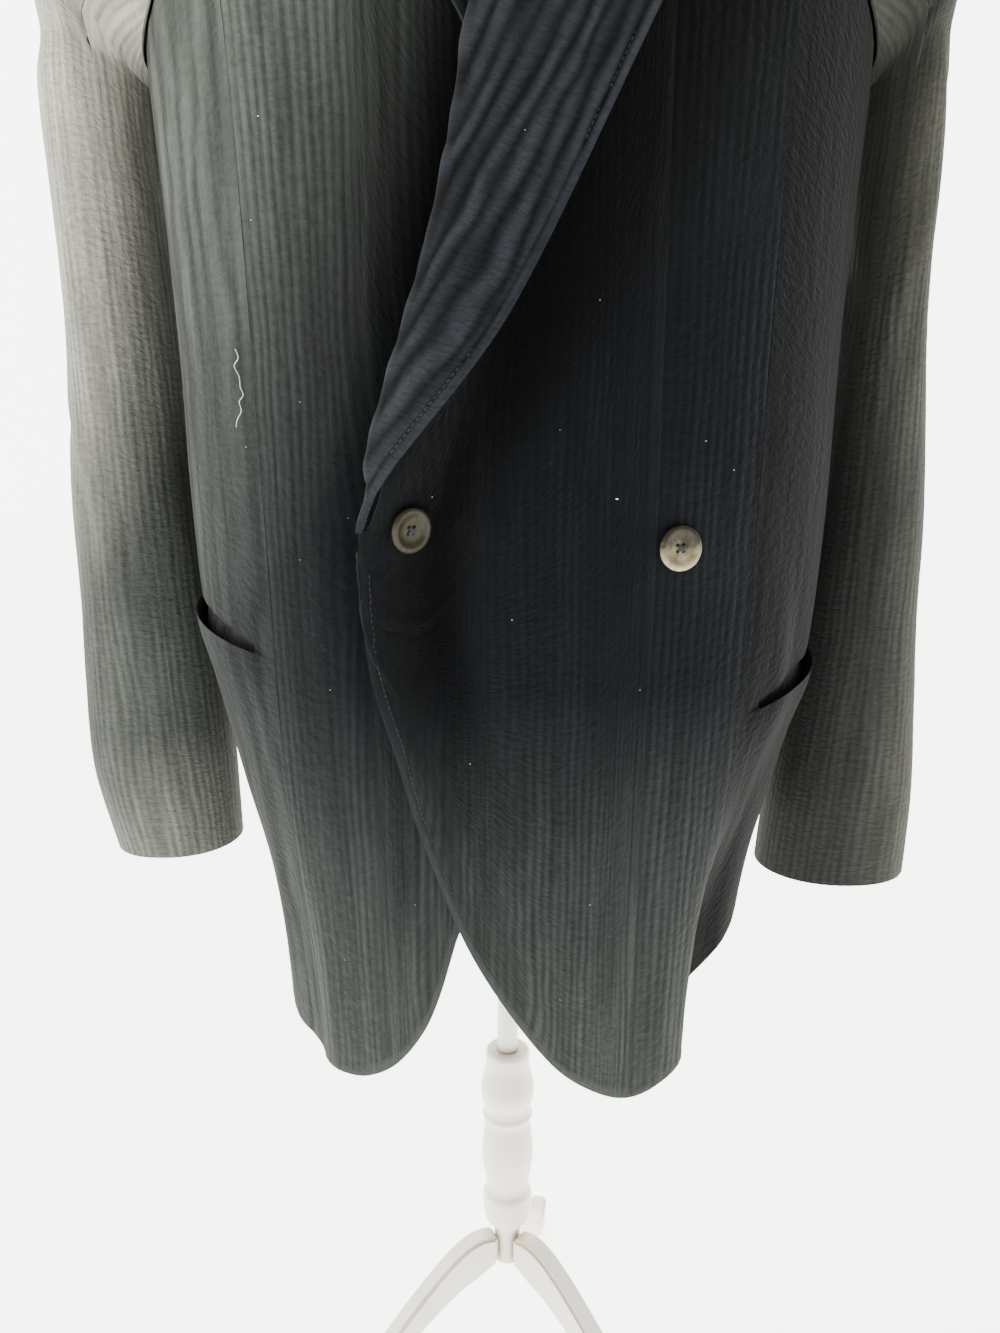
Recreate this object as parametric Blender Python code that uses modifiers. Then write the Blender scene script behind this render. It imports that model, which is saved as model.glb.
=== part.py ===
"""A double-breasted blazer of crinkled cotton gauze, worn on a dress form that stands on a turned post with three legs.

X runs to the wearer's left, -Y is the front and Z is up, with the floor at Z = 0. The pole is the axis X = Y = 0.
"""

import math

import bmesh
import bpy
from mathutils import Matrix, Vector

# Cloth
CLOTH = 0.0016
SEAM = 0.0003
PANEL_INSET = 0.00115
RIB_PITCH = 0.0115
RIB_HEIGHT = 0.0006
SECTION_POWER = 2.3

# Heights
CHEST = 1.05
WAIST = 0.79
ROLL_START = 0.79
SHOULDER_TURN = 0.24
SHOULDER_POWER = 1.1
NECK_SIDE_X = 0.078
NECK_SIDE_Z = 1.232
SHOULDER_SLOPE = 0.30
SHOULDER_X = 0.212
SHOULDER_Z = NECK_SIDE_Z - SHOULDER_SLOPE * (SHOULDER_X - NECK_SIDE_X)
NOTCH_Z = 1.130
ARMPIT_Z = 1.062
HEM_SEAM_Z = 0.44
GORGE_Z = 1.130

# height, half width, front depth, back depth
BODY = (
    (0.40, 0.162, 0.146, 0.136),
    (0.50, 0.166, 0.154, 0.136),
    (0.56, 0.173, 0.160, 0.132),
    (0.62, 0.187, 0.166, 0.128),
    (0.70, 0.203, 0.171, 0.123),
    (0.79, 0.210, 0.172, 0.119),
    (0.90, 0.213, 0.168, 0.123),
    (1.05, 0.222, 0.158, 0.135),
    (1.14, 0.228, 0.150, 0.136),
)

# height, x of the seam between front and side panel, x of the seam between side panel and back
SEAMS = (
    (0.40, 0.126, 0.142),
    (0.60, 0.134, 0.156),
    (0.79, 0.138, 0.166),
    (1.05, 0.1505, 0.172),
    (1.13, 0.164, 0.180),
)

# x, height of the hem and front edge of the top front, from its edge to its side seam
TOP_HEM = (
    (-0.0750, 0.770),
    (-0.0738, 0.740),
    (-0.0705, 0.708),
    (-0.0620, 0.668),
    (-0.0540, 0.624),
    (-0.0300, 0.552),
    (-0.0050, 0.503),
    (0.0270, 0.457),
    (0.0520, 0.437),
    (0.0740, 0.429),
    (0.1000, 0.433),
    (0.1270, 0.443),
)

# x, height of the hem and front edge of the under front, from its side seam to its edge
UNDER_HEM = (
    (-0.1270, 0.432),
    (-0.1080, 0.433),
    (-0.0900, 0.438),
    (-0.0700, 0.453),
    (-0.0520, 0.480),
    (-0.0420, 0.506),
    (-0.0300, 0.550),
    (0.0000, 0.604),
    (0.0400, 0.660),
    (0.0800, 0.716),
    (0.1070, 0.772),
)

# how far the hem rises across a side panel, and what the back's hem has at its middle
HEM_RISE_LEFT = 0.122
HEM_RISE_RIGHT = 0.048
HEM_POWER_LEFT = 3.0
HEM_POWER_RIGHT = 2.2
BACK_HEM = 0.494

# height, x of the top front's roll line, x of its lapel's outer edge
ROLL = (
    (0.790, -0.0750, -0.0750),
    (0.810, -0.0675, -0.0640),
    (0.836, -0.0620, -0.0460),
    (0.886, -0.0480, -0.0120),
    (0.927, -0.0370, 0.0110),
    (0.979, -0.0260, 0.0370),
    (1.044, -0.0150, 0.0680),
    (1.090, 0.0000, 0.0900),
    (1.130, 0.0180, 0.1080),
    (1.165, 0.0370, 0.1150),
    (1.200, 0.0570, 0.1180),
    (1.236, 0.0780, 0.1200),
)
LAPEL_MIRROR = 0.032
LAPEL_ROUND = 0.004
LAPEL_SLOPE = 0.060
LAPEL_WIDTH = 0.084
LAPEL_PITCH = 0.0105
LAPEL_GAP = 0.0006
EDGE_RIDGE = 0.018
EDGE_TROUGH = 0.014

# angle round the body from the front in degrees, half spread, depth at the hem, height where it fades out
FOLDS = (
    (53, 8, -0.027, 0.74),
    (-52, 7, -0.007, 0.70),
    (24, 12, 0.004, 0.62),
    (88, 15, -0.010, 0.72),
    (-86, 16, -0.008, 0.70),
    (128, 13, -0.010, 0.86),
    (150, 11, 0.009, 0.90),
    (177, 13, -0.008, 0.80),
    (-154, 12, 0.010, 0.92),
    (-129, 12, -0.011, 0.84),
)

# Sleeves: height, inner x, outer x, half depth, middle y
SLEEVE_LEFT = (
    (0.521, 0.194, 0.3020, 0.048, 0.022),
    (0.560, 0.197, 0.3035, 0.051, 0.022),
    (0.620, 0.204, 0.3000, 0.056, 0.022),
    (0.720, 0.214, 0.2910, 0.063, 0.021),
    (0.850, 0.2215, 0.2820, 0.070, 0.018),
    (0.960, 0.2260, 0.2690, 0.075, 0.014),
    (1.050, 0.2310, 0.2670, 0.078, 0.010),
)
SLEEVE_RIGHT = (
    (0.542, 0.207, 0.2960, 0.046, 0.022),
    (0.575, 0.208, 0.3060, 0.050, 0.022),
    (0.640, 0.210, 0.3090, 0.056, 0.022),
    (0.730, 0.215, 0.3045, 0.063, 0.021),
    (0.850, 0.2215, 0.2990, 0.070, 0.018),
    (0.960, 0.2260, 0.2920, 0.075, 0.014),
    (1.050, 0.2310, 0.2900, 0.078, 0.010),
)
# turn of the sleeve head's ring in degrees, height of the ring, half depth
SLEEVE_HEAD = (
    (9, 0.1380, 0.093),
    (20, 0.1180, 0.095),
    (33, 0.0940, 0.092),
    (50, 0.0700, 0.087),
    (70, 0.0560, 0.081),
)
SLEEVE_HEAD_WIDTH = 0.056
SLEEVE_SEAM_FRONT = 118
SLEEVE_SEAM_BACK = -112
SLEEVE_SEAM_GAP = 0.50
SLEEVE_ROWS = 8
SLEEVE_HEAD_GAP = 0.0031

# Collar: half the span that lies behind the neck, lift off the cloth, height of its stand, turns and places of its edges
COLLAR_BACK = 0.5
COLLAR_LIFT = 0.0056
COLLAR_STAND = 0.026
NECK_DIP = 33
COLLAR_EDGE_X = 0.128
COLLAR_EDGE_DIP = 52
COLLAR_END_Z = 1.174
COLLAR_TIP_X = 0.102
COLLAR_TIP_Z = 1.153
COLLAR_MIDDLE_X = 0.072
COLLAR_MIDDLE_Z = 1.153
COLLAR_EDGE_LIFT = 0.0080
COLLAR_TIP_LIFT = 0.0070
COLLAR_MIDDLE_LIFT = 0.0165
COLLAR_ROUND = 0.011
COLLAR_LEAN = 0.004
COLLAR_ROLL_LIFT = 0.009

# Pocket mouths: where they start and end across the side panel, height of the lower lip, rise and gape
POCKET_FROM = 0.03
POCKET_TO = 0.55
POCKET_HEIGHT_LEFT = 0.678
POCKET_HEIGHT_RIGHT = 0.713
POCKET_LIFT = 0.026
POCKET_GAP = 0.009
FACING_THICK = 0.0012
FACING_INWARDS = 0.0035

# Buttons: x and height of each, and how far its thread shank holds it off the cloth
BUTTON_FASTENED = (-0.057, 0.791, 0.0030)
BUTTON_OUTER = (0.091, 0.7795, 0.0001)
BUTTON_DIAMETER = 0.025
BUTTON_THICK = 0.0042
BUTTON_HOLE = 0.0021
BUTTON_HOLE_RING = 0.0024

# Form
# height, half width, front depth, back depth
FORM = (
    (0.6000, 0.118, 0.078, 0.084),
    (0.6040, 0.132, 0.092, 0.098),
    (0.6200, 0.142, 0.102, 0.108),
    (0.7000, 0.152, 0.110, 0.112),
    (0.7800, 0.136, 0.100, 0.096),
    (0.8500, 0.118, 0.088, 0.082),
    (0.9200, 0.124, 0.098, 0.086),
    (0.9900, 0.142, 0.114, 0.098),
    (1.0600, 0.156, 0.112, 0.102),
    (1.1200, 0.168, 0.092, 0.094),
    (1.1600, 0.178, 0.068, 0.074),
)
# half width, half depth of the shoulders' rows
FORM_SHOULDERS = (
    (0.182, 0.028),
    (0.160, 0.024),
    (0.130, 0.026),
    (0.100, 0.026),
    (0.074, 0.019),
)
FORM_NECK = (
    (1.240, 0.060, 0.04472, 0.04472),
    (1.256, 0.059, 0.04836, 0.05200),
    (1.300, 0.057, 0.04836, 0.05200),
)
FORM_CLEAR = 0.0040
FORM_TOP = FORM_NECK[-1][0]
FORM_CAP = 0.012

# Stand
POLE_RADIUS = 0.008
POLE_DEPTH = 0.040
# height, radius of the turned post, from the top down
POST = (
    (0.372, 0.0160),
    (0.370, 0.0172),
    (0.358, 0.0174),
    (0.350, 0.0190),
    (0.340, 0.0210),
    (0.331, 0.0205),
    (0.326, 0.0186),
    (0.320, 0.0184),
    (0.316, 0.0198),
    (0.310, 0.0180),
    (0.296, 0.0196),
    (0.280, 0.0206),
    (0.266, 0.0190),
    (0.254, 0.0168),
    (0.249, 0.0172),
    (0.245, 0.0192),
    (0.236, 0.0196),
    (0.222, 0.0178),
    (0.216, 0.0128),
    (0.211, 0.0106),
    (0.183, 0.0104),
)
LEG_THICK = 0.017
LEG_TURNS = {"leg_left": -158, "leg_right": -38, "leg_back": 82}
# distance from the axis, height of the top edge, height of the lower edge
LEG = (
    (0.0108, 0.2080, 0.1850),
    (0.0260, 0.2090, 0.1760),
    (0.0450, 0.2000, 0.1660),
    (0.0750, 0.1720, 0.1420),
    (0.1150, 0.1270, 0.1020),
    (0.1600, 0.0790, 0.0580),
    (0.2050, 0.0400, 0.0200),
    (0.2350, 0.0240, 0.0030),
    (0.2480, 0.0210, 0.0000),
    (0.2660, 0.0190, 0.0000),
    (0.2700, 0.0140, 0.0000),
)


def smooth(start, end, value):
    share = min(max((value - start) / (end - start), 0.0), 1.0)
    return share * share * (3 - 2 * share)


def along(rows, at, column=1):
    """A column of a table at any value of its first column, on a smooth curve through the rows."""
    if at <= rows[0][0]:
        return rows[0][column]
    if at >= rows[-1][0]:
        return rows[-1][column]
    k = next(i for i in range(len(rows) - 1) if at <= rows[i + 1][0])

    def slope(i):
        low, high = max(i - 1, 0), min(i + 1, len(rows) - 1)
        return (rows[high][column] - rows[low][column]) / (rows[high][0] - rows[low][0])

    width = rows[k + 1][0] - rows[k][0]
    s = (at - rows[k][0]) / width
    first = (2 * s**3 - 3 * s**2 + 1) * rows[k][column] + (s**3 - 2 * s**2 + s) * width * slope(k)
    last = (3 * s**2 - 2 * s**3) * rows[k + 1][column] + (s**3 - s**2) * width * slope(k + 1)
    return first + last


def shoulder_height(x):
    return NECK_SIDE_Z - SHOULDER_SLOPE * (abs(x) - NECK_SIDE_X)


def fan(x, z):
    """Columns spread outwards above the armhole's notch, so that the last one ends at the shoulder point."""
    share = abs(x) / along(SEAMS, NOTCH_Z, 1)
    return x * (1 + (SHOULDER_X / along(SEAMS, NOTCH_Z, 1) - 1) * share**2 * smooth(NOTCH_Z, SHOULDER_Z, z))


def angle_of(x, z, back):
    """The place round the body in degrees, 0 at the front, 90 on the wearer's left and 180 at the back."""
    share = min(abs(x) / along(BODY, z, 1), 1.0)
    turn = math.degrees(math.asin(share ** (SECTION_POWER / 2)))
    return math.copysign(180 - turn if back else turn, x)


def place_on_body(turn, z):
    """The smooth body surface at a place round it and a height below the chest."""
    s, c = math.sin(math.radians(turn)), math.cos(math.radians(turn))
    x = along(BODY, z, 1) * math.copysign(abs(s) ** (2 / SECTION_POWER), s)
    depth = along(BODY, z, 2 if c > 0 else 3)
    return Vector((x, -math.copysign(depth * abs(c) ** (2 / SECTION_POWER), c), z))


def fold_depth(turn, z):
    """How far the hanging folds push the cloth out at this place."""
    total = 0.0
    for middle, spread, depth, top in FOLDS:
        away = (turn - middle + 180) % 360 - 180
        total += depth * math.exp(-((away / spread) ** 2)) * smooth(top, HEM_SEAM_Z, z) ** 1.3
    return total


def body_point(x, z, back, extra=0.0):
    """A point of the fronts or the back at a column and a height, rounded over the shoulder above the chest."""
    turn = angle_of(x, min(z, CHEST), back)
    low = place_on_body(turn, min(z, CHEST))
    low.x = x
    out = fold_depth(turn, z) + extra
    radians = math.radians(turn)
    low += Vector((math.sin(radians), -math.cos(radians), 0)) * out
    if z <= CHEST:
        return low
    x_up = fan(x, z)
    share = min((z - CHEST) / (shoulder_height(x_up) - CHEST), 1.0)
    around = math.cos(math.asin(share**SHOULDER_POWER))
    return Vector((x_up + (low.x - x), min(low.y * around, -3 * SEAM), z))


def rise(x, start, end, count, row):
    """Height of a row of a column, closer together where the cloth turns over the shoulder."""
    top = shoulder_height(fan(x, end)) if end > CHEST else end
    def length(z):
        if z <= CHEST:
            return z
        share = min((z - CHEST) / (shoulder_height(fan(x, z)) - CHEST), 1.0)
        return CHEST + SHOULDER_TURN * math.asin(share**SHOULDER_POWER)

    first, last = length(start), length(min(end, top))
    want = first + (last - first) * row / count
    if want <= CHEST:
        return want
    low, high = CHEST, min(end, top)
    for _ in range(30):
        middle = (low + high) / 2
        low, high = (middle, high) if length(middle) < want else (low, middle)
    return (low + high) / 2


def material(name, colour, roughness):
    made = bpy.data.materials.new(name)
    made.use_nodes = True
    shader = made.node_tree.nodes["Principled BSDF"]
    shader.inputs["Base Color"].default_value = (*colour, 1)
    shader.inputs["Roughness"].default_value = roughness
    made.diffuse_color = (*colour, 1)
    return made


def add(name, mesh, group, finish):
    made = bpy.data.objects.new(name, mesh)
    mesh.materials.append(finish)
    group.objects.link(made)
    return made


def wall(name, grid, group, finish, thick=CLOTH, rib=RIB_HEIGHT, mouth=None, flip=False):
    """A cloth wall on a grid of points: ribs on the outer side's odd columns, and a plain inner side.

    grid is a list of columns of points, an odd number of them. mouth names the first column, the last column and the
    row of the cells left open.
    """
    columns, rows = len(grid), len(grid[0])
    side = -1 if flip else 1
    pitch = 2 if rib else 1
    outer, inner = {}, {}
    mesh = bmesh.new()
    for i in range(columns):
        for j in range(rows):
            across = grid[min(i + 1, columns - 1)][j] - grid[max(i - 1, 0)][j]
            up = grid[i][min(j + 1, rows - 1)] - grid[i][max(j - 1, 0)]
            normal = across.cross(up).normalized() * side
            raised = rib if i % 2 and 0 < j < rows - 1 else 0
            outer[i, j] = mesh.verts.new(grid[i][j] + normal * (thick / 2 + raised))
            if i % pitch == 0:
                inner[i, j] = mesh.verts.new(grid[i][j] - normal * thick / 2)

    def is_open(i, j):
        return mouth is not None and mouth[0] <= i < mouth[1] and j == mouth[2]

    def rim(i, j):
        edge = [outer[i + k, j] for k in range(pitch + 1)]
        mesh.faces.new((*edge, inner[i + pitch, j], inner[i, j]))

    def cell(points, i, j, width):
        first = i - i % pitch
        rising = (grid[first][j] - grid[first + pitch][j + 1]).length
        falling = (grid[first + pitch][j] - grid[first][j + 1]).length
        a, b, c, d = points[i, j], points[i + width, j], points[i + width, j + 1], points[i, j + 1]
        if rising < falling:
            mesh.faces.new((a, b, c))
            mesh.faces.new((a, c, d))
        else:
            mesh.faces.new((a, b, d))
            mesh.faces.new((b, c, d))

    for j in range(rows - 1):
        for i in range(columns - 1):
            if not is_open(i, j):
                cell(outer, i, j, 1)
        for i in range(0, columns - 1, pitch):
            if not is_open(i, j):
                cell(inner, i, j, pitch)
        for i in (0, columns - 1):
            mesh.faces.new((outer[i, j], outer[i, j + 1], inner[i, j + 1], inner[i, j]))
    for i in range(0, columns - 1, pitch):
        rim(i, 0)
        rim(i, rows - 1)
    if mouth is not None:
        first, last, row = mouth
        for i in range(first, last, pitch):
            rim(i, row)
            rim(i, row + 1)
        for i in (first, last):
            mesh.faces.new((outer[i, row], outer[i, row + 1], inner[i, row + 1], inner[i, row]))
    bmesh.ops.recalc_face_normals(mesh, faces=mesh.faces)
    if mesh.calc_volume(signed=True) < 0:
        bmesh.ops.reverse_faces(mesh, faces=mesh.faces)
    data = bpy.data.meshes.new(name)
    mesh.to_mesh(data)
    mesh.free()
    return add(name, data, group, finish)


def even(length, pitch=RIB_PITCH):
    """The even number of half ribs along a length."""
    return 2 * max(round(length / pitch), 1)


def edge_ridge(gap, z, bridged=False):
    """The top front's edge and roll line stand proud, with a trough beside them that the lapel bridges."""
    height = smooth(0.58, 0.74, z) * (1 - 0.55 * smooth(0.84, 1.02, z)) * (1 - smooth(1.06, 1.18, z))
    if bridged:
        return EDGE_RIDGE * math.exp(-((gap / LAPEL_SLOPE) ** 2)) * height
    ridge = EDGE_RIDGE * (1 - smooth(0.0, 0.030, gap))
    trough = EDGE_TROUGH * math.exp(-(((gap - 0.038) / 0.022) ** 2))
    return (ridge - trough) * height


def top_front_point(x, z, bridged=False):
    edge = along(ROLL, z, 1) if z > ROLL_START else edge_of(TOP_HEM, z)
    return body_point(x, z, False, edge_ridge(x - edge, z, bridged))


def edge_of(rows, z):
    """The x of a front edge at a height, from the hem table read the other way."""
    steep = sorted((row[1], row[0]) for row in (rows[:9] if rows is TOP_HEM else rows[4:]))
    return along(steep, z, 1)


def under_drop(x, z):
    """The under front passes inside the top front, deeper where its own lapel lies between them."""
    edge = along(ROLL, z, 1) if z > ROLL_START else edge_of(TOP_HEM, z)
    inside = smooth(edge - 0.035, edge + 0.004, x)
    deep = 0.0045 + 0.0140 * smooth(0.70, 0.80, z)
    trough = max(-edge_ridge(x - edge, z), 0.0)
    return -inside * (deep + trough) * (1 - smooth(1.11, 1.19, z))


def under_front_point(x, z):
    return body_point(x, z, False, under_drop(x, z))


def column_spacing(count):
    """Shares of the width for each column, closer together at the free edge."""
    places = [i - 1.0 * (1 - math.exp(-i / 1.2)) for i in range(count + 1)]
    return [place / places[-1] for place in places]


def front(name, point, hem, mirror, group, finish, rows=12):
    """A front from its free edge to the side seam, each column running from the hem to the roll line or the shoulder."""
    sign = -1 if mirror else 1
    start = hem[-1][0] if mirror else hem[0][0]
    count = even(abs(sign * along(SEAMS, WAIST, 1) - start))
    grid = []
    for share in column_spacing(count):
        at_waist = start + (sign * along(SEAMS, WAIST, 1) - start) * share
        low = along(hem, at_waist * (along(SEAMS, HEM_SEAM_Z, 1) / along(SEAMS, WAIST, 1) if share > 0.5 else 1), 1)
        high = roll_height(sign * at_waist, mirror)
        column = []
        for row in range(rows + 1):
            z = rise(at_waist, low, high, rows, row)
            pull = along(SEAMS, z, 1) / along(SEAMS, WAIST, 1)
            x = at_waist * (1 + (pull - 1) * share**2)
            gap = sign * PANEL_INSET * share**4
            column.append(point(x - gap, z))
        grid.append(column)
    return wall(name, grid, group, finish, flip=mirror)


def roll_height(x, mirror):
    """Where a column meets the roll line, or the shoulder where it passes beside the neck."""
    if mirror:
        return roll_height_under(x)
    inside = x - LAPEL_ROUND
    if inside >= NECK_SIDE_X:
        return shoulder_height(x) + 0.1
    rows = sorted((row[1], row[0]) for row in ROLL)
    return along(rows, inside, 1)


def under_roll(z):
    """The under front's roll line: the top front's, mirrored about the centre front."""
    return -along(ROLL, z, 1) + LAPEL_MIRROR * (1 - smooth(1.06, 1.22, z))


def roll_height_under(x_mirrored):
    inside = -(x_mirrored - LAPEL_ROUND)
    if inside <= -NECK_SIDE_X:
        return shoulder_height(x_mirrored) + 0.1
    low, high = 0.772, NECK_SIDE_Z + 0.002
    for _ in range(30):
        middle = (low + high) / 2
        low, high = (middle, high) if under_roll(middle) > inside else (low, middle)
    return (low + high) / 2


def side_top(share):
    return ARMPIT_Z + (NOTCH_Z - ARMPIT_Z) * abs(2 * share - 1) ** 2.2


def side_hem(share, sign):
    if sign > 0:
        return TOP_HEM[-1][1] + HEM_RISE_LEFT * (1 - (1 - share) ** HEM_POWER_LEFT)
    return UNDER_HEM[0][1] + HEM_RISE_RIGHT * (1 - (1 - share) ** HEM_POWER_RIGHT)


def side_point(share, z, sign):
    low = min(z, CHEST)
    first = angle_of(along(SEAMS, z, 1), low, False)
    last = angle_of(along(SEAMS, z, 2), low, True)
    inset = math.degrees(PANEL_INSET / 0.2)
    turn = first + inset + (last - first - 2 * inset) * share
    base = place_on_body(turn, low)
    radians = math.radians(turn)
    out = fold_depth(sign * turn, z) + pocket_lip(share, z, sign)
    base += Vector((math.sin(radians), -math.cos(radians), 0)) * out
    if z > CHEST:
        ratio = (z - CHEST) / (shoulder_height(base.x) - CHEST)
        base.y *= math.cos(math.asin(ratio**SHOULDER_POWER))
        base.z = z
    return Vector((sign * base.x, base.y, base.z))


def pocket_height(share, sign):
    """The lower lip of the slanted pocket mouth: lowest at the front seam."""
    front_end = POCKET_HEIGHT_LEFT if sign > 0 else POCKET_HEIGHT_RIGHT
    return front_end + POCKET_LIFT * (share - POCKET_FROM) / (POCKET_TO - POCKET_FROM)


def pocket_open(share):
    """How far the mouth gapes along its length, from 0 to 1."""
    middle = (share - POCKET_FROM) / (POCKET_TO - POCKET_FROM)
    return max(math.sin(math.pi * min(max(middle, 0.0), 1.0)), 0.0) ** 0.7


def pocket_lip(share, z, sign):
    """The lower lip of the mouth hangs a little away from the body."""
    below = pocket_height(share, sign) - z
    return 0.006 * pocket_open(share) * math.exp(-((max(below, 0) / 0.030) ** 2)) if below > -0.001 else 0.0


def side(sign, group, finish):
    columns, below, above = 20, 6, 7
    grid = []
    for i in range(columns + 1):
        share = i / columns
        hem, lip, top = side_hem(share, sign), pocket_height(share, sign), side_top(share)
        upper = lip + 0.002 + POCKET_GAP * pocket_open(share)
        heights = [hem + (lip - hem) * (j / below) ** 0.9 for j in range(below + 1)]
        heights += [upper + (top - upper) * j / above for j in range(above + 1)]
        grid.append([side_point(share, z, sign) for z in heights])
    name = "side_left" if sign > 0 else "side_right"
    return wall(name, grid, group, finish, mouth=(2, 10, below), flip=sign < 0)


def pocket_facing(sign, group, finish):
    """A plain strip of cloth behind the mouth, made from the side panel's points moved inwards."""
    grid = []
    for i in range(9):
        share = 0.02 + 0.56 * i / 8
        column = []
        for j in range(5):
            z = pocket_height(share, sign) - 0.045 + 0.075 * j / 4
            point = side_point(share, z, sign)
            ahead = side_point(share + 0.01, z, sign) - side_point(share - 0.01, z, sign)
            outward = Vector((ahead.y, -ahead.x, 0)).normalized() * sign
            column.append(point - outward * (FACING_INWARDS + pocket_lip(share, z, sign)))
        grid.append(column)
    name = "pocket_facing_left" if sign > 0 else "pocket_facing_right"
    return wall(name, grid, group, finish, thick=FACING_THICK, rib=0, flip=sign < 0)


def back(group, finish):
    seam = along(SEAMS, WAIST, 2)
    count = even(2 * seam)
    rows = 11
    grid = []
    for i in range(count + 1):
        share = 2 * i / count - 1
        x_waist = -seam * share
        low = BACK_HEM + (side_hem(1, math.copysign(1, x_waist)) - BACK_HEM) * abs(share) ** 1.6
        column = []
        for row in range(rows + 1):
            z = rise_back(x_waist, low, rows, row)
            seam_now = along(SEAMS, z, 2) - PANEL_INSET
            x = -share * (seam_now + (SHOULDER_X - along(SEAMS, NOTCH_Z, 2)) * abs(share) * smooth(NOTCH_Z, SHOULDER_Z, z))
            column.append(back_point(x, share, z))
        grid.append(column)
    return wall("back", grid, group, finish)


def back_neck_share(x):
    """How far round the shoulder the back reaches: all the way beside the neck, less at the middle of the neckline."""
    return 1.0 - 0.38 * (1 - smooth(0.0, 1.0, min(abs(x) / NECK_SIDE_X, 1.0) ** 2))


def rise_back(x, start, count, row):
    top = shoulder_height(x)
    quarter = math.pi / 2 * back_neck_share(x)
    length = (CHEST - start) + SHOULDER_TURN * quarter
    want = length * row / count
    if want <= CHEST - start:
        return start + want
    turned = (want - (CHEST - start)) / SHOULDER_TURN
    return CHEST + (top - CHEST) * math.sin(turned) ** (1 / SHOULDER_POWER)


def back_point(x, share, z):
    low = min(z, CHEST)
    x_low = -share * (along(SEAMS, z, 2) - PANEL_INSET)
    turn = angle_of(x_low, low, True)
    base = place_on_body(turn, low)
    radians = math.radians(turn)
    base += Vector((math.sin(radians), -math.cos(radians), 0)) * fold_depth(turn, z)
    base.x += x - x_low
    if z > CHEST:
        ratio = min((z - CHEST) / (shoulder_height(x) - CHEST), 1.0)
        base.y = max(base.y * math.cos(math.asin(ratio**SHOULDER_POWER)), 3 * SEAM)
    base.z = z
    return base


def armhole(turn, sign):
    """The armhole's edge: 0 at the shoulder, 90 at the front, 180 at the armpit and 270 at the back."""
    radians = math.radians(turn)
    z = (SHOULDER_Z + ARMPIT_Z) / 2 + (SHOULDER_Z - ARMPIT_Z) / 2 * math.cos(radians)
    front_half = math.sin(radians) >= 0
    if z >= NOTCH_Z:
        if front_half:
            point = body_point(along(SEAMS, NOTCH_Z, 1), z, False)
        else:
            seam_now = along(SEAMS, z, 2)
            x = seam_now + (SHOULDER_X - along(SEAMS, NOTCH_Z, 2)) * smooth(NOTCH_Z, SHOULDER_Z, z)
            point = back_point(x, -1, z)
    else:
        share = (1 - ((z - ARMPIT_Z) / (NOTCH_Z - ARMPIT_Z)) ** (1 / 2.2)) / 2
        point = side_point(share if front_half else 1 - share, z, 1)
    return Vector((sign * point.x, point.y, point.z))


def sleeve_point(rows, turn, step, sign):
    """A point of the sleeve: rings turn from the armhole to level at the armpit, and then run down to the cuff."""
    radians = math.radians(turn)
    top_share = (1 + math.cos(radians)) / 2
    head = len(SLEEVE_HEAD)
    pivot_x, middle_y = rows[-1][1], rows[-1][4]
    if step == 0:
        point = armhole(turn % 360, sign)
        point.x += sign * (SLEEVE_HEAD_GAP + SEAM * (1 - top_share))
        return point
    if step <= head:
        tilt, height, depth = SLEEVE_HEAD[step - 1]
        tilt = math.radians(tilt)
        reach = (rows[-1][2] - pivot_x) / SLEEVE_HEAD_WIDTH
        x = pivot_x + math.sin(tilt) * height * top_share * reach
        z = ARMPIT_Z - 0.004 + math.cos(tilt) * height * top_share
        point = Vector((sign * x, middle_y - depth * math.sin(radians), z))
        near = 0.55 if step == 1 else 0.2 if step == 2 else 0
        edge = armhole(turn % 360, sign)
        edge.x += sign * (0.004 + 0.003 * step)
        return point.lerp(edge, near)
    down = (step - head - 1) / SLEEVE_ROWS
    z = rows[-1][0] + (rows[0][0] - rows[-1][0]) * down
    inner, outer, depth, middle = (along(rows, z, k) for k in (1, 2, 3, 4))
    x = (inner + outer) / 2 + (outer - inner) / 2 * math.copysign(abs(math.cos(radians)) ** 0.9, math.cos(radians))
    wrinkle = 0.0022 * math.sin(38 * down + 3 * math.sin(radians)) * (1 - smooth(0.3, 0.8, down)) * top_share
    return Vector((sign * (x + wrinkle), middle - depth * math.sin(radians), z))


def sleeve(rows, sign, upper, group, finish):
    """The upper or the under piece of a two-piece sleeve."""
    if upper:
        start, end, columns = SLEEVE_SEAM_BACK + SLEEVE_SEAM_GAP, SLEEVE_SEAM_FRONT - SLEEVE_SEAM_GAP, 26
    else:
        start, end, columns = SLEEVE_SEAM_FRONT + SLEEVE_SEAM_GAP, 360 + SLEEVE_SEAM_BACK - SLEEVE_SEAM_GAP, 12
    steps = len(SLEEVE_HEAD) + SLEEVE_ROWS + 1
    grid = []
    for i in range(columns + 1):
        turn = start + (end - start) * i / columns
        grid.append([sleeve_point(rows, turn, steps - j, sign) for j in range(steps + 1)])
    name = ("sleeve_upper_" if upper else "sleeve_under_") + ("left" if sign > 0 else "right")
    return wall(name, grid, group, finish, flip=sign > 0)


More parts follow.
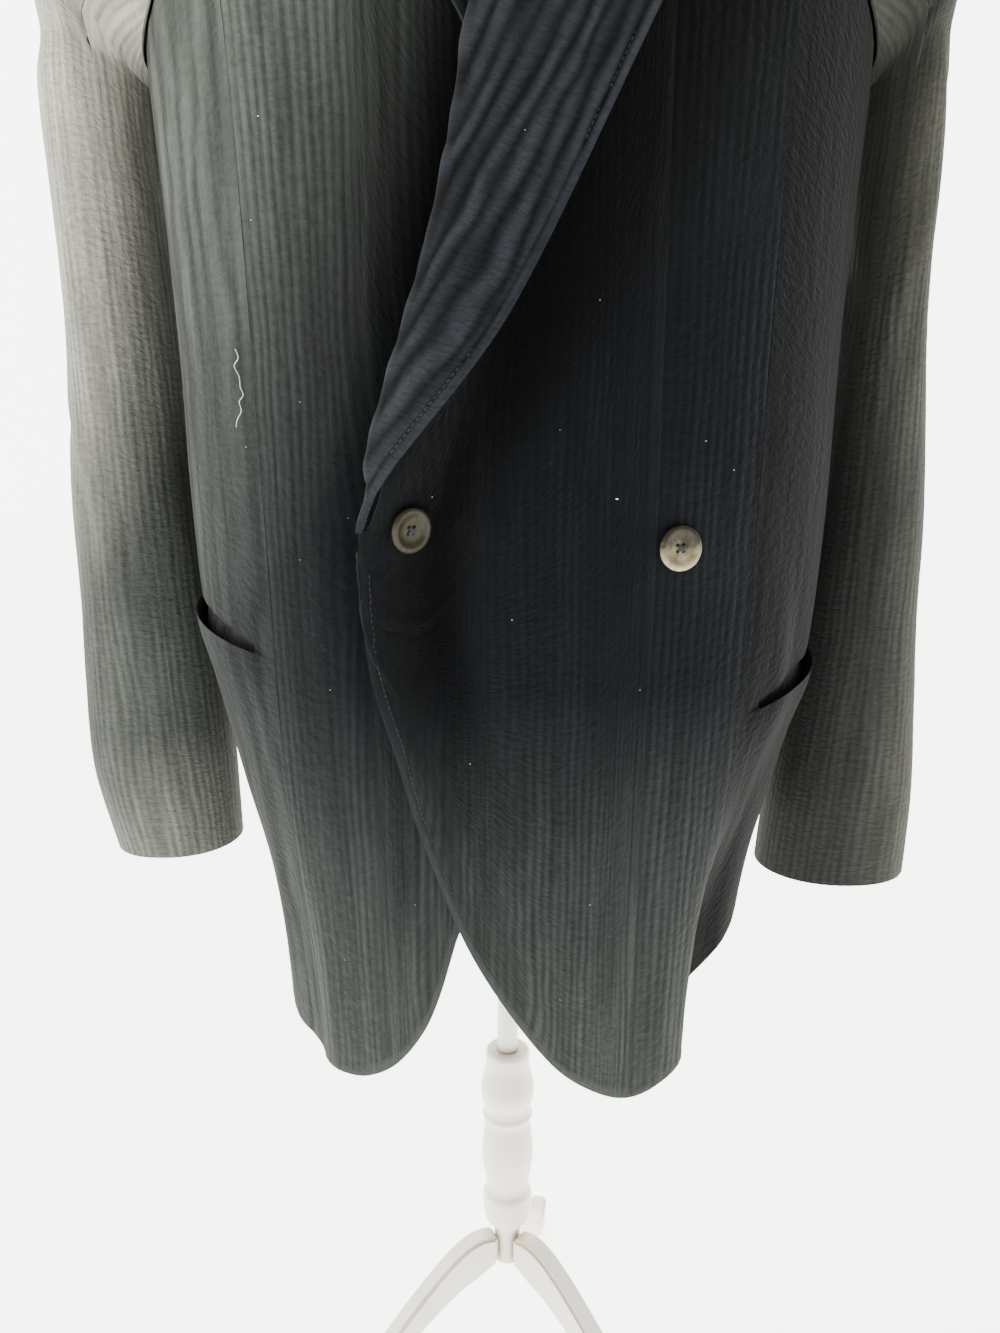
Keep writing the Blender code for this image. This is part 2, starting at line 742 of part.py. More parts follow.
def lapel_points(distance, rows, mirror):
    """A column of the lapel at a distance in from its outer edge: round the roll, then up to the gorge."""
    def roll(z):
        return under_roll(z) * -1 if mirror else along(ROLL, z, 1)

    def outer(z):
        shift = LAPEL_MIRROR * (1 - smooth(1.06, 1.22, z)) if mirror else 0
        return along(ROLL, z, 2) - shift

    def width(z):
        return outer(z) - roll(z)

    low, high = 0.80, GORGE_Z
    for _ in range(30):
        middle = (low + high) / 2
        low, high = (middle, high) if width(middle) < distance else (low, middle)
    start = (low + high) / 2
    sign = -1 if mirror else 1
    column = []

    def surface(x, z):
        return under_front_point(-x, z) if mirror else top_front_point(x, z, True)

    def lifted(x, z, lift):
        point = surface(x, z)
        ahead = surface(x + 0.004, z) - surface(x - 0.004, z)
        outward = Vector((ahead.y, -ahead.x, 0)).normalized() * sign
        return point + outward * lift

    for turn in (30, 90, 150):
        radians = math.radians(turn)
        x = roll(start) + LAPEL_ROUND * (1.6 - 1.6 * math.sin(radians)) + LAPEL_GAP
        lift = LAPEL_ROUND * (1 - math.cos(radians)) + LAPEL_GAP + CLOTH
        column.append(lifted(x, start - 0.002 * math.cos(radians), lift))
    for j in range(1, rows + 1):
        z = start + (GORGE_Z - start) * j / rows
        x = outer(z) - distance
        share = (x - roll(z)) / max(width(z), 0.002)
        flat = 0.45 if mirror else 1.0
        lift = 2 * LAPEL_ROUND + CLOTH + LAPEL_GAP + flat * 0.006 * math.sin(math.pi * min(max(share, 0), 1) ** 0.8)
        column.append(lifted(x, z, lift))
    return column


def lapel(mirror, group, finish):
    count = even(LAPEL_WIDTH, LAPEL_PITCH)
    grid = [lapel_points(LAPEL_GAP + LAPEL_WIDTH * i / count, 10, mirror) for i in range(count + 1)]
    name = "lapel_right" if mirror else "lapel_left"
    return wall(name, grid, group, finish, flip=not mirror)


def top_point(x, turn, lift):
    """A point over the shoulders, by how far it has turned from the chest in front, 0, to the back, 180, and lifted."""
    def bare(x, turn):
        radians = math.radians(turn)
        z = CHEST + (shoulder_height(x) - CHEST) * math.sin(radians) ** (1 / SHOULDER_POWER)
        return Vector((x, abs(body_point(x, CHEST, turn > 90).y) * -math.cos(radians), z))

    across = bare(x + 0.002, turn) - bare(x - 0.002, turn)
    over = bare(x, turn + 1) - bare(x, turn - 1)
    return bare(x, turn) + across.cross(over).normalized() * lift


def turn_at(x, z):
    return math.degrees(math.asin(((z - CHEST) / (shoulder_height(x) - CHEST)) ** SHOULDER_POWER))


def collar_guides(s):
    """The collar's neck seam, roll, middle of its fall and outer edge: right end at -1, middle back at 0, left end at 1."""
    reach, sign = abs(s), math.copysign(1, s)
    round_back = math.pi / 2 * min(reach / COLLAR_BACK, 1.0)
    ahead = smooth(COLLAR_BACK, 1.0, reach)
    outward = Vector((math.sin(round_back), math.cos(round_back), 0))
    if reach < COLLAR_BACK:
        x = NECK_SIDE_X * math.sin(round_back)
        seam = top_point(x, 90 + NECK_DIP * math.cos(round_back), COLLAR_LIFT)
        roll = seam + Vector((0, 0, COLLAR_STAND)) + outward * COLLAR_LEAN
    else:
        z = NECK_SIDE_Z - 0.0005 - (NECK_SIDE_Z - COLLAR_END_Z) * ahead
        x = along(ROLL, z, 1)
        seam = top_point(x + 0.003, turn_at(x + 0.003, z), COLLAR_LIFT)
        roll = top_point(x, turn_at(x, z), COLLAR_LIFT + COLLAR_ROLL_LIFT * ahead)
        roll += Vector((0, 0, COLLAR_STAND * (1 - ahead) + 0.001)) + outward * COLLAR_LEAN * (1 - ahead)
    edge_x = COLLAR_EDGE_X * math.sin(round_back) - (COLLAR_EDGE_X - COLLAR_TIP_X) * ahead
    tip_turn = turn_at(COLLAR_TIP_X, COLLAR_TIP_Z)
    edge_turn = 90 + COLLAR_EDGE_DIP * math.cos(round_back) - (90 - tip_turn) * ahead
    edge = top_point(edge_x, edge_turn, COLLAR_EDGE_LIFT + COLLAR_TIP_LIFT * ahead)
    round_out = (outward * COLLAR_ROUND + Vector((0, 0, COLLAR_ROUND))) * (1 - ahead)
    middle = (roll + edge) / 2 + round_out
    low = top_point(COLLAR_MIDDLE_X, turn_at(COLLAR_MIDDLE_X, COLLAR_MIDDLE_Z), COLLAR_MIDDLE_LIFT)
    middle = middle.lerp(low, ahead**2)
    return [Vector((sign * p.x, p.y, p.z)) for p in (seam, roll, middle, edge)]


def collar(group, finish):
    """A folded band round the neck: a stand that rises from the neck seam and a fall that lies over the shoulders."""
    steps = 28
    grid = []
    for i in range(steps + 1):
        seam, roll, middle, edge = collar_guides(1 - 2 * i / steps)
        column = [seam, seam.lerp(roll, 0.55)]
        for t in (0.0, 0.12, 0.30, 0.52, 0.76, 1.0):
            column.append(roll * (1 - t) ** 2 + middle * 2 * t * (1 - t) + edge * t**2)
        grid.append(column)
    return wall("collar", grid, group, finish, rib=0)


def turned(name, profile, steps, group, finish):
    """A profile of radius and height pairs, from the axis down the outer side to the axis again, spun round Z."""
    mesh = bpy.data.meshes.new(name)
    points = [(radius, 0, height) for radius, height in profile]
    mesh.from_pydata(points, [(k, k + 1) for k in range(len(points) - 1)], [])
    made = add(name, mesh, group, finish)
    screw = made.modifiers.new("Spin", "SCREW")
    screw.steps = screw.render_steps = steps
    screw.use_merge_vertices = True
    screw.merge_threshold = 0.00001
    screw.use_smooth_shade = True
    return made


def button_frame(x, z, shank):
    """A button's place and turn: flat on the top front's cloth, with its holes in a square."""
    place = top_front_point(x, z)
    across = top_front_point(x + BUTTON_DIAMETER / 3, z) - top_front_point(x - BUTTON_DIAMETER / 3, z)
    up = top_front_point(x, z + BUTTON_DIAMETER / 3) - top_front_point(x, z - BUTTON_DIAMETER / 3)
    outward = across.cross(up).normalized()
    across.normalize()
    turned_frame = Matrix((across, outward.cross(across), outward)).transposed().to_4x4()
    lift = CLOTH / 2 + RIB_HEIGHT + shank
    return Matrix.Translation(place + outward * lift) @ turned_frame @ Matrix.Rotation(math.radians(45), 4, "Z")


def button(name, frame, group, cutters, finish):
    radius = BUTTON_DIAMETER / 2
    thick = BUTTON_THICK
    profile = (
        (0, thick * 0.50),
        (radius * 0.42, thick * 0.52),
        (radius * 0.60, thick * 0.68),
        (radius * 0.72, thick * 0.92),
        (radius * 0.84, thick),
        (radius * 0.95, thick * 0.86),
        (radius, thick * 0.60),
        (radius * 0.97, thick * 0.36),
        (radius * 0.80, thick * 0.08),
        (radius * 0.62, 0),
        (0, 0),
    )
    made = turned(name, profile, 24, group, finish)
    made.matrix_world = frame
    for k in range(4):
        around = math.pi / 2 * k
        mesh = bmesh.new()
        bmesh.ops.create_cone(
            mesh, cap_ends=True, segments=6, radius1=BUTTON_HOLE / 2, radius2=BUTTON_HOLE / 2, depth=3 * thick
        )
        data = bpy.data.meshes.new(f"{name}_hole_{k}")
        mesh.to_mesh(data)
        mesh.free()
        cutter = bpy.data.objects.new(data.name, data)
        cutter.matrix_world = frame @ Matrix.Translation(
            (BUTTON_HOLE_RING * math.cos(around), BUTTON_HOLE_RING * math.sin(around), 0)
        )
        cutter.hide_render = True
        cutter.display_type = "WIRE"
        cutters.objects.link(cutter)
        cut = made.modifiers.new(f"Hole {k}", "BOOLEAN")
        cut.operation = "DIFFERENCE"
        cut.object = cutter
    return made


def form_rings():
    """Rows of the dress form from its base to its neck, its shoulders following the cloth's."""
    rows = list(FORM)
    clear = FORM_CLEAR + CLOTH / 2
    rows += [(shoulder_height(x) - clear, x, depth * 0.95, depth * 1.05) for x, depth in FORM_SHOULDERS]
    return rows + list(FORM_NECK)


def form_torso(group, finish):
    around = 24
    mesh = bmesh.new()
    rings = []
    for z, width, front_depth, back_depth in form_rings():
        ring = []
        for i in range(around):
            turn = 2 * math.pi * i / around
            depth = front_depth if math.cos(turn) > 0 else back_depth
            ring.append(mesh.verts.new((width * math.sin(turn), -depth * math.cos(turn), z)))
        rings.append(ring)
    for low, high in zip(rings, rings[1:]):
        for i in range(around):
            k = (i + 1) % around
            mesh.faces.new((low[i], low[k], high[k], high[i]))
    mesh.faces.new(rings[0])
    mesh.faces.new(rings[-1])
    bmesh.ops.recalc_face_normals(mesh, faces=mesh.faces)
    data = bpy.data.meshes.new("form_torso")
    mesh.to_mesh(data)
    mesh.free()
    data.shade_smooth()
    data.set_sharp_from_angle(angle=math.radians(40))
    return add("form_torso", data, group, finish)


def form_neck_cap(group, finish):
    low = FORM_TOP + SEAM
    radius = FORM_NECK[-1][1] - 0.006
    profile = (
        (0, low + FORM_CAP),
        (radius * 0.80, low + FORM_CAP),
        (radius * 0.93, low + FORM_CAP * 0.85),
        (radius, low + FORM_CAP * 0.5),
        (radius, low),
        (0, low),
    )
    return turned("form_neck_cap", profile, 24, group, finish)


def post(group, finish):
    cup = POST[0][0]
    socket = cup - POLE_DEPTH
    inner = POLE_RADIUS + SEAM
    profile = [(0, socket), (inner, socket), (inner, cup), *((radius, height) for height, radius in POST)]
    profile.append((0, POST[-1][0]))
    return turned("post", profile, 18, group, finish)


def pole(group, finish):
    low, high = POST[0][0] - POLE_DEPTH + SEAM, FORM[0][0] - SEAM
    profile = ((0, high), (POLE_RADIUS, high), (POLE_RADIUS, low), (0, low))
    return turned("pole", profile, 16, group, finish)


def leg(name, turn, group, finish):
    """A board cut to a curved outline, flat on the floor at its foot."""
    curve = bpy.data.curves.new(name, "CURVE")
    curve.dimensions = "2D"
    curve.fill_mode = "BOTH"
    curve.extrude = LEG_THICK / 2
    spline = curve.splines.new("POLY")
    outline = [(out, top) for out, top, _ in LEG] + [(out, low) for out, _, low in reversed(LEG)]
    spline.points.add(len(outline) - 1)
    for point, (out, height) in zip(spline.points, outline):
        point.co = (out, height, 0, 1)
    spline.use_cyclic_u = True
    made = bpy.data.objects.new(name, curve)
    curve.materials.append(finish)
    made.matrix_world = Matrix.Rotation(math.radians(turn), 4, "Z") @ Matrix.Rotation(math.pi / 2, 4, "X")
    group.objects.link(made)
    return made


def collection(name):
    made = bpy.data.collections.new(name)
    bpy.context.scene.collection.children.link(made)
    return made


def stand_on_origin(group, cutters):
    """Moves everything so that the origin is under the middle of the whole object."""
    bpy.context.view_layer.update()
    corners = [made.matrix_world @ Vector(corner) for made in group.objects for corner in made.bound_box]
    low = [min(corner[k] for corner in corners) for k in range(3)]
    high = [max(corner[k] for corner in corners) for k in range(3)]
    origin = bpy.data.objects.new("origin", None)
    origin.location = (-(low[0] + high[0]) / 2, -(low[1] + high[1]) / 2, -low[2])
    bpy.context.scene.collection.objects.link(origin)
    for made in (*group.objects, *cutters.objects):
        made.parent = origin


def main():
    for old in list(bpy.data.objects):
        bpy.data.objects.remove(old)
    group, cutters = collection("blazer_on_form"), collection("cutters")
    cutters.hide_render = True
    cloth = material("crinkled_gauze", (0.016, 0.021, 0.026), 0.9)
    horn = material("horn", (0.23, 0.18, 0.11), 0.3)
    cover = material("form_cover", (0.75, 0.70, 0.60), 0.85)
    paint = material("cream_paint", (0.80, 0.75, 0.65), 0.4)

    front("front_left", top_front_point, TOP_HEM, False, group, cloth)
    front("front_right", under_front_point, UNDER_HEM, True, group, cloth)
    for sign in (1, -1):
        side(sign, group, cloth)
        pocket_facing(sign, group, cloth)
        rows = SLEEVE_LEFT if sign > 0 else SLEEVE_RIGHT
        sleeve(rows, sign, True, group, cloth)
        sleeve(rows, sign, False, group, cloth)
    back(group, cloth)
    lapel(False, group, cloth)
    lapel(True, group, cloth)
    collar(group, cloth)

    button("button_fastened", button_frame(*BUTTON_FASTENED), group, cutters, horn)
    button("button_outer", button_frame(*BUTTON_OUTER), group, cutters, horn)

    form_torso(group, cover)
    form_neck_cap(group, paint)
    pole(group, paint)
    post(group, paint)
    for name, turn in LEG_TURNS.items():
        leg(name, turn, group, paint)
    stand_on_origin(group, cutters)


main()
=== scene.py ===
import math

import bmesh
import bpy
import numpy as np
from mathutils import Matrix, Vector
from mathutils.bvhtree import BVHTree


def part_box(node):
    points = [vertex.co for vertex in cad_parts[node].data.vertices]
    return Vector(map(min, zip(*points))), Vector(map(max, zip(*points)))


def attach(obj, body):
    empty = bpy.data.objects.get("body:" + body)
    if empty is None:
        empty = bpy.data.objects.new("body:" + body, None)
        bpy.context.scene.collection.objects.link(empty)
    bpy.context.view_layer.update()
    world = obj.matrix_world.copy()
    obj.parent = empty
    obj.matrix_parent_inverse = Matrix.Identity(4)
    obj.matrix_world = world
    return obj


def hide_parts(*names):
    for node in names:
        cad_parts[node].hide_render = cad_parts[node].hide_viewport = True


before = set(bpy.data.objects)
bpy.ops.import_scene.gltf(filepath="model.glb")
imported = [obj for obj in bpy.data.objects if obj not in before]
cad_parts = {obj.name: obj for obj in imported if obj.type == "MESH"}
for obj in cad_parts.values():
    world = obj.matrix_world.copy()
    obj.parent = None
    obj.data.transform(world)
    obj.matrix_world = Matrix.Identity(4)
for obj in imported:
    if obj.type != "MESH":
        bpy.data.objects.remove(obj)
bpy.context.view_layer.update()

# The room: a pale seamless floor, a large soft window of light on the wearer's right and a weaker one opposite.
# The camera stands close in front, a little above the buttons, and looks down at the hem and the stand.
scene = bpy.context.scene
pole_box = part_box("pole")
AXIS = np.array(((pole_box[0].x + pole_box[1].x) / 2, (pole_box[0].y + pole_box[1].y) / 2, 0.0))
camera = bpy.data.objects.new("camera", bpy.data.cameras.new("camera"))
camera.data.sensor_fit = "VERTICAL"
camera.data.sensor_height = 36.0
camera.data.lens = 27.1
camera.location = AXIS + (-0.006, -0.710, 0.830)
CAMERA_TILT = math.radians(78.0)
camera.rotation_euler = (CAMERA_TILT, 0, 0)
scene.collection.objects.link(camera)
scene.camera = camera


def keep(mesh, name, smooth_to=None):
    """The finished mesh of a BMesh, shaded smooth where its faces meet at less than an angle in degrees."""
    data = bpy.data.meshes.new(name)
    mesh.to_mesh(data)
    mesh.free()
    if smooth_to:
        data.shade_smooth()
        data.set_sharp_from_angle(angle=math.radians(smooth_to))
    return data


floor_mesh = bmesh.new()
bmesh.ops.create_circle(floor_mesh, cap_ends=True, segments=96, radius=14.0)
floor = bpy.data.objects.new("floor", keep(floor_mesh, "floor"))
scene.collection.objects.link(floor)
floor_paint = bpy.data.materials.new("floor")
floor_paint.use_nodes = True
floor_shader = floor_paint.node_tree.nodes["Principled BSDF"]
floor_shader.inputs["Base Color"].default_value = (0.86, 0.86, 0.85, 1)
floor_shader.inputs["Roughness"].default_value = 0.9
floor_shader.inputs["Emission Color"].default_value = (1.0, 0.99, 0.96, 1)
floor_shader.inputs["Emission Strength"].default_value = 4.0
floor.data.materials.append(floor_paint)


class Wire:
    """An output of a material's node tree that adds, scales and compares like a number."""

    def __init__(self, tree, socket):
        self.tree = tree
        self.socket = socket

    def node(self, kind, inputs, out=0, **settings):
        """The output of a new node, its inputs given by name or number."""
        made = self.tree.nodes.new("ShaderNode" + kind)
        for name, value in settings.items():
            setattr(made, name, value)
        for name, value in inputs.items():
            if isinstance(value, Wire):
                self.tree.links.new(value.socket, made.inputs[name])
            else:
                made.inputs[name].default_value = value
        return Wire(self.tree, made.outputs[out])

    def calc(self, operation, first, second):
        """One arithmetic step on two wires or numbers."""
        return self.node("Math", {0: first, 1: second}, operation=operation)

    def part(self, axis):
        """X, Y or Z of this vector."""
        return self.node("SeparateXYZ", {"Vector": self}, out=axis)

    def stretched(self, *scale):
        """This vector, its axes scaled."""
        return self.node("Mapping", {"Vector": self, "Scale": scale})

    def bump(self, height, strength, distance, **below):
        """A normal raised by a height, over another normal if one is given."""
        return self.node("Bump", {"Height": height, "Strength": strength, "Distance": distance, **below})

    def __add__(self, other):
        return self.calc("ADD", self, other)

    def __sub__(self, other):
        return self.calc("SUBTRACT", self, other)

    def __rsub__(self, other):
        return self.calc("SUBTRACT", other, self)

    def __mul__(self, other):
        return self.calc("MULTIPLY", self, other)

    __radd__ = __add__
    __rmul__ = __mul__

    def between(self, low, high):
        """0 below low, 1 above high."""
        return self.node("MapRange", {"Value": self, "From Min": low, "From Max": high})

    def blend(self, first, second):
        """A colour between two, by this number."""
        return self.node("Mix", {0: self, 6: first, 7: second}, out=2, data_type="RGBA")

    def noise(self, scale, detail=2.0, rough=0.5):
        """Noise in this space."""
        settings = {"Vector": self, "Scale": scale, "Detail": detail, "Roughness": rough}
        return self.node("TexNoise", settings, out="Fac")


scene.world = bpy.data.worlds.new("studio")
scene.world.use_nodes = True
sky_tree = scene.world.node_tree
sky = Wire(sky_tree, sky_tree.nodes.new("ShaderNodeTexCoord").outputs["Generated"])
glow = sky.part("Y").between(-0.1, 0.6) * 6.5 + (sky.part("X") * -1.0).between(0.1, 1.0) * 1.3 + 0.22
backdrop = sky_tree.nodes["Background"]
backdrop.inputs["Color"].default_value = (1.0, 0.99, 0.965, 1)
sky_tree.links.new(glow.socket, backdrop.inputs["Strength"])


def soft_light(name, place, target, size, watts, colour):
    """A soft rectangle of light that faces a target."""
    lamp = bpy.data.lights.new(name, "AREA")
    lamp.shape = "RECTANGLE"
    lamp.size, lamp.size_y = size
    lamp.energy = watts
    lamp.color = colour
    made = bpy.data.objects.new(name, lamp)
    made.location = place
    made.rotation_euler = (Vector(target) - Vector(place)).to_track_quat("-Z", "Y").to_euler()
    scene.collection.objects.link(made)


soft_light("window", (-1.9, -0.7, 1.6), (-0.1, 0, 0.8), (1.0, 1.6), 26, (1.0, 0.97, 0.90))
soft_light("far_wall", (1.9, 0.7, 1.2), (0, 0, 0.8), (1.0, 1.6), 8, (1.0, 0.95, 0.86))

# The stand: a turned hardwood post with three band-sawn legs let into its foot, and a steel pole in its top.
# All of it is brushed with cream satin paint, thin on the edges, with painted shade darkening it in the turned
# grooves.


def finish(name, **constants):
    """A new material, its shader's constant sockets set, and its surface coordinates in metres."""
    made = bpy.data.materials.new(name)
    made.use_nodes = True
    tree = made.node_tree
    for socket, value in constants.items():
        tree.nodes["Principled BSDF"].inputs[socket.replace("_", " ")].default_value = value
    return made, Wire(tree, tree.nodes.new("ShaderNodeTexCoord").outputs["Object"])


def connect(material, **wires):
    """Leads wires into the sockets of a material's shader."""
    tree = material.node_tree
    for socket, wire in wires.items():
        tree.links.new(wire.socket, tree.nodes["Principled BSDF"].inputs[socket.replace("_", " ")])


stand_paint, place = finish("cream_paint", Specular_IOR_Level=0.45, Coat_Roughness=0.3)
brushing = place.stretched(1.0, 1.0, 0.12).noise(260.0, 3.0)
blotch = place.noise(22.0, 3.0)
# Painted shade: ambient occlusion darkens the paint to brown in the turned grooves and other tight corners.
hollow = place.node("AmbientOcclusion", {"Distance": 0.012}, out="AO", samples=8)
aged = blotch.between(0.35, 0.75).blend((0.80, 0.765, 0.68, 1), (0.74, 0.69, 0.58, 1))
coat_and_groove_shade = hollow.between(0.45, 0.95).blend((0.50, 0.43, 0.31, 1), aged)
connect(
    stand_paint,
    Base_Color=coat_and_groove_shade,
    Roughness=brushing * 0.18 + 0.33,
    Normal=place.bump(brushing, 0.12, 0.0006),
)


def add_piece(name, mesh, material, slot, *nodes):
    """A finished piece: it rides on the body and stands for its nodes; the slot of its finish is not used."""
    made = bpy.data.objects.new(name, mesh)
    mesh.materials.clear()
    mesh.materials.append(material)
    scene.collection.objects.link(made)
    if nodes:
        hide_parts(*nodes)
    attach(made, "root")
    return made


def turn_on_lathe(name, profile, around, middle=AXIS, smooth_to=42):
    """A closed profile of (radius, height) spun round an upright axis, the pole's if no other is given."""
    mesh = bmesh.new()
    rings = []
    for radius, height in profile:
        ring = []
        for k in range(around if radius > 0 else 1):
            turn = 2 * math.pi * k / around
            x, y = middle[0] + radius * math.cos(turn), middle[1] + radius * math.sin(turn)
            ring.append(mesh.verts.new((x, y, height)))
        rings.append(ring)
    for low, high in zip(rings, rings[1:]):
        for k in range(around):
            n = k + 1
            corners = [low[k % len(low)], low[n % len(low)], high[n % len(high)], high[k % len(high)]]
            mesh.faces.new(list(dict.fromkeys(corners)))
    bmesh.ops.recalc_face_normals(mesh, faces=mesh.faces)
    return keep(mesh, name, smooth_to)


def curve_through(x, y, at):
    """Smooth curves through values y at places x, along the last axis, read at other places."""
    order = np.arange(len(x))
    low, high = np.maximum(order - 1, 0), np.minimum(order + 1, len(x) - 1)
    slope = (y[..., high] - y[..., low]) / (x[high] - x[low])
    k = np.clip(np.searchsorted(x, at, side="right") - 1, 0, len(x) - 2)
    width = x[k + 1] - x[k]
    s = (at - x[k]) / width
    first = (2 * s**3 - 3 * s**2 + 1) * y[..., k] + (s**3 - 2 * s**2 + s) * width * slope[..., k]
    return first + (3 * s**2 - 2 * s**3) * y[..., k + 1] + (s**3 - s**2) * width * slope[..., k + 1]


def along(rows, at, column=1):
    """A column of a table at any values of its first column, on a smooth curve through the rows."""
    table = np.array(rows, float)
    x = table[:, 0]
    return curve_through(x, table[:, column], np.clip(at, x[0], x[-1]))


# height, radius of the turned post from its foot up
POST = (
    (0.183, 0.0104),
    (0.211, 0.0106),
    (0.216, 0.0128),
    (0.222, 0.0178),
    (0.236, 0.0196),
    (0.245, 0.0192),
    (0.249, 0.0172),
    (0.254, 0.0168),
    (0.266, 0.0190),
    (0.280, 0.0206),
    (0.296, 0.0196),
    (0.310, 0.0180),
    (0.316, 0.0198),
    (0.320, 0.0184),
    (0.326, 0.0186),
    (0.331, 0.0205),
    (0.340, 0.0210),
    (0.350, 0.0190),
    (0.358, 0.0174),
    (0.370, 0.0172),
    (0.372, 0.0160),
)
POST_FOOT, POST_TOP = POST[0][0], POST[-1][0]
SOCKET_RADIUS, SOCKET_FLOOR = 0.0083, 0.332
POLE_RADIUS, POLE_FOOT, POLE_TOP = 0.0080, 0.3323, 0.5997
post_heights = np.linspace(POST_FOOT, POST_TOP, 150)
post_profile = [(0, POST_FOOT), *zip(along(POST, post_heights), post_heights)]
post_profile += [(SOCKET_RADIUS, POST_TOP), (SOCKET_RADIUS, SOCKET_FLOOR), (0, SOCKET_FLOOR)]
add_piece("post_turned", turn_on_lathe("post_turned", post_profile, 64), stand_paint, "stand_paint", "post")
pole_profile = [(0, POLE_FOOT), (POLE_RADIUS, POLE_FOOT), (POLE_RADIUS, POLE_TOP), (0, POLE_TOP)]
add_piece("pole_painted", turn_on_lathe("pole_painted", pole_profile, 40), stand_paint, "stand_paint", "pole")

# distance from the axis, height of a leg's top edge, height of its lower edge
LEG = (
    (0.0108, 0.2080, 0.1850),
    (0.0260, 0.2090, 0.1760),
    (0.0450, 0.2000, 0.1660),
    (0.0750, 0.1720, 0.1420),
    (0.1150, 0.1270, 0.1020),
    (0.1600, 0.0790, 0.0580),
    (0.2050, 0.0400, 0.0200),
    (0.2350, 0.0240, 0.0030),
    (0.2480, 0.0210, 0.0000),
    (0.2660, 0.0190, 0.0000),
    (0.2700, 0.0140, 0.0000),
)
LEG_THICK = 0.017
for name, turn in (("leg_left", -158), ("leg_right", -38), ("leg_back", 82)):
    out = np.linspace(LEG[0][0], LEG[-1][0], 60)
    outline = [*zip(out, along(LEG, out, 1)), *zip(out[::-1], np.maximum(along(LEG, out, 2), 0)[::-1])]
    mesh = bmesh.new()
    sides = [[mesh.verts.new((x, y, z)) for x, z in outline] for y in (-LEG_THICK / 2, LEG_THICK / 2)]
    for k in range(len(outline)):
        n = (k + 1) % len(outline)
        mesh.faces.new((sides[0][k], sides[0][n], sides[1][n], sides[1][k]))
    mesh.faces.new(sides[0])
    mesh.faces.new(sides[1])
    bmesh.ops.recalc_face_normals(mesh, faces=mesh.faces)
    rims = [edge for edge in mesh.edges if edge.calc_face_angle(0) > math.radians(50)]
    bmesh.ops.bevel(mesh, geom=rims, offset=0.0024, segments=3, affect="EDGES", clamp_overlap=True)
    bmesh.ops.transform(
        mesh, matrix=Matrix.Translation(AXIS) @ Matrix.Rotation(math.radians(turn), 4, "Z"), verts=mesh.verts
    )
    add_piece(name + "_sawn", keep(mesh, name + "_sawn", 40), stand_paint, "stand_paint", name)

# The dress form: a padded torso under a tight cream jersey cover, with a turned wooden cap on its neck.
# Its shoulders carry the blazer, and nothing else of it touches the cloth.
# height, half width, front depth, back depth
FORM = (
    (0.6000, 0.118, 0.078, 0.084),
    (0.6040, 0.132, 0.092, 0.098),
    (0.6200, 0.142, 0.102, 0.108),
    (0.7000, 0.152, 0.110, 0.112),
    (0.7800, 0.136, 0.100, 0.096),
    (0.8500, 0.118, 0.088, 0.082),
    (0.9200, 0.124, 0.098, 0.086),
    (0.9900, 0.142, 0.114, 0.098),
    (1.0600, 0.156, 0.112, 0.102),
    (1.1200, 0.168, 0.092, 0.094),
    (1.1600, 0.178, 0.068, 0.074),
    (1.1960, 0.182, 0.0266, 0.0294),
    (1.2026, 0.160, 0.0228, 0.0252),
    (1.2116, 0.130, 0.0247, 0.0273),
    (1.2206, 0.100, 0.0247, 0.0273),
    (1.2284, 0.074, 0.0180, 0.0200),
    (1.2400, 0.060, 0.0447, 0.0447),
    (1.2560, 0.059, 0.0484, 0.0520),
    (1.3000, 0.057, 0.0484, 0.0520),
)


def weld(name, points, faces):
    """A mesh from points and faces, placed on the stand's axis."""
    data = bpy.data.meshes.new(name)
    data.from_pydata((np.asarray(points, float) + AXIS).tolist(), [], faces)
    data.update()
    return data


FORM_AROUND = 96
form_heights = [np.linspace(low[0], high[0], 7)[:-1] for low, high in zip(FORM, FORM[1:])]
form_heights = np.concatenate(form_heights + [[FORM[-1][0]]])
turns = np.linspace(0, 2 * math.pi, FORM_AROUND, endpoint=False)
form_table = np.array(FORM)
form_points, form_faces = [], []
for height in form_heights:
    width, ahead, behind = (np.interp(height, form_table[:, 0], form_table[:, k]) for k in (1, 2, 3))
    depth = np.where(np.cos(turns) > 0, ahead, behind)
    form_points += zip(width * np.sin(turns), -depth * np.cos(turns), np.full(FORM_AROUND, height))
for first in range(0, FORM_AROUND * (len(form_heights) - 1), FORM_AROUND):
    for k in range(FORM_AROUND):
        n = (k + 1) % FORM_AROUND
        form_faces.append((first + k, first + n, first + FORM_AROUND + n, first + FORM_AROUND + k))
form_faces.append(list(range(FORM_AROUND - 1, -1, -1)))
form_faces.append([len(form_points) - FORM_AROUND + k for k in range(FORM_AROUND)])
form_cover, place = finish("form_cover", Sheen_Weight=0.25, Sheen_Roughness=0.5)
knit = place.node("TexVoronoi", {"Vector": place, "Scale": 900.0}, out="Distance")
soil = place.noise(9.0, 3.0)
connect(
    form_cover,
    Base_Color=soil.between(0.3, 0.75).blend((0.74, 0.69, 0.59, 1), (0.66, 0.61, 0.51, 1)),
    Roughness=knit * 0.2 + 0.78,
    Normal=place.bump(knit, 0.25, 0.0005),
)
torso = weld("form_jersey", form_points, form_faces)
torso.shade_smooth()
torso.set_sharp_from_angle(angle=math.radians(50))
add_piece("form_jersey", torso, form_cover, "form_cover", "form_torso")
CAP_RADIUS, CAP_FOOT, CAP_EDGE, CAP_TOP = 0.0510, 1.3003, 1.3063, 1.3123
CAP_CHAMFER, CAP_ROUND = 0.0015, 0.012
cap_profile = [(0, CAP_FOOT), (CAP_RADIUS - CAP_CHAMFER, CAP_FOOT)]
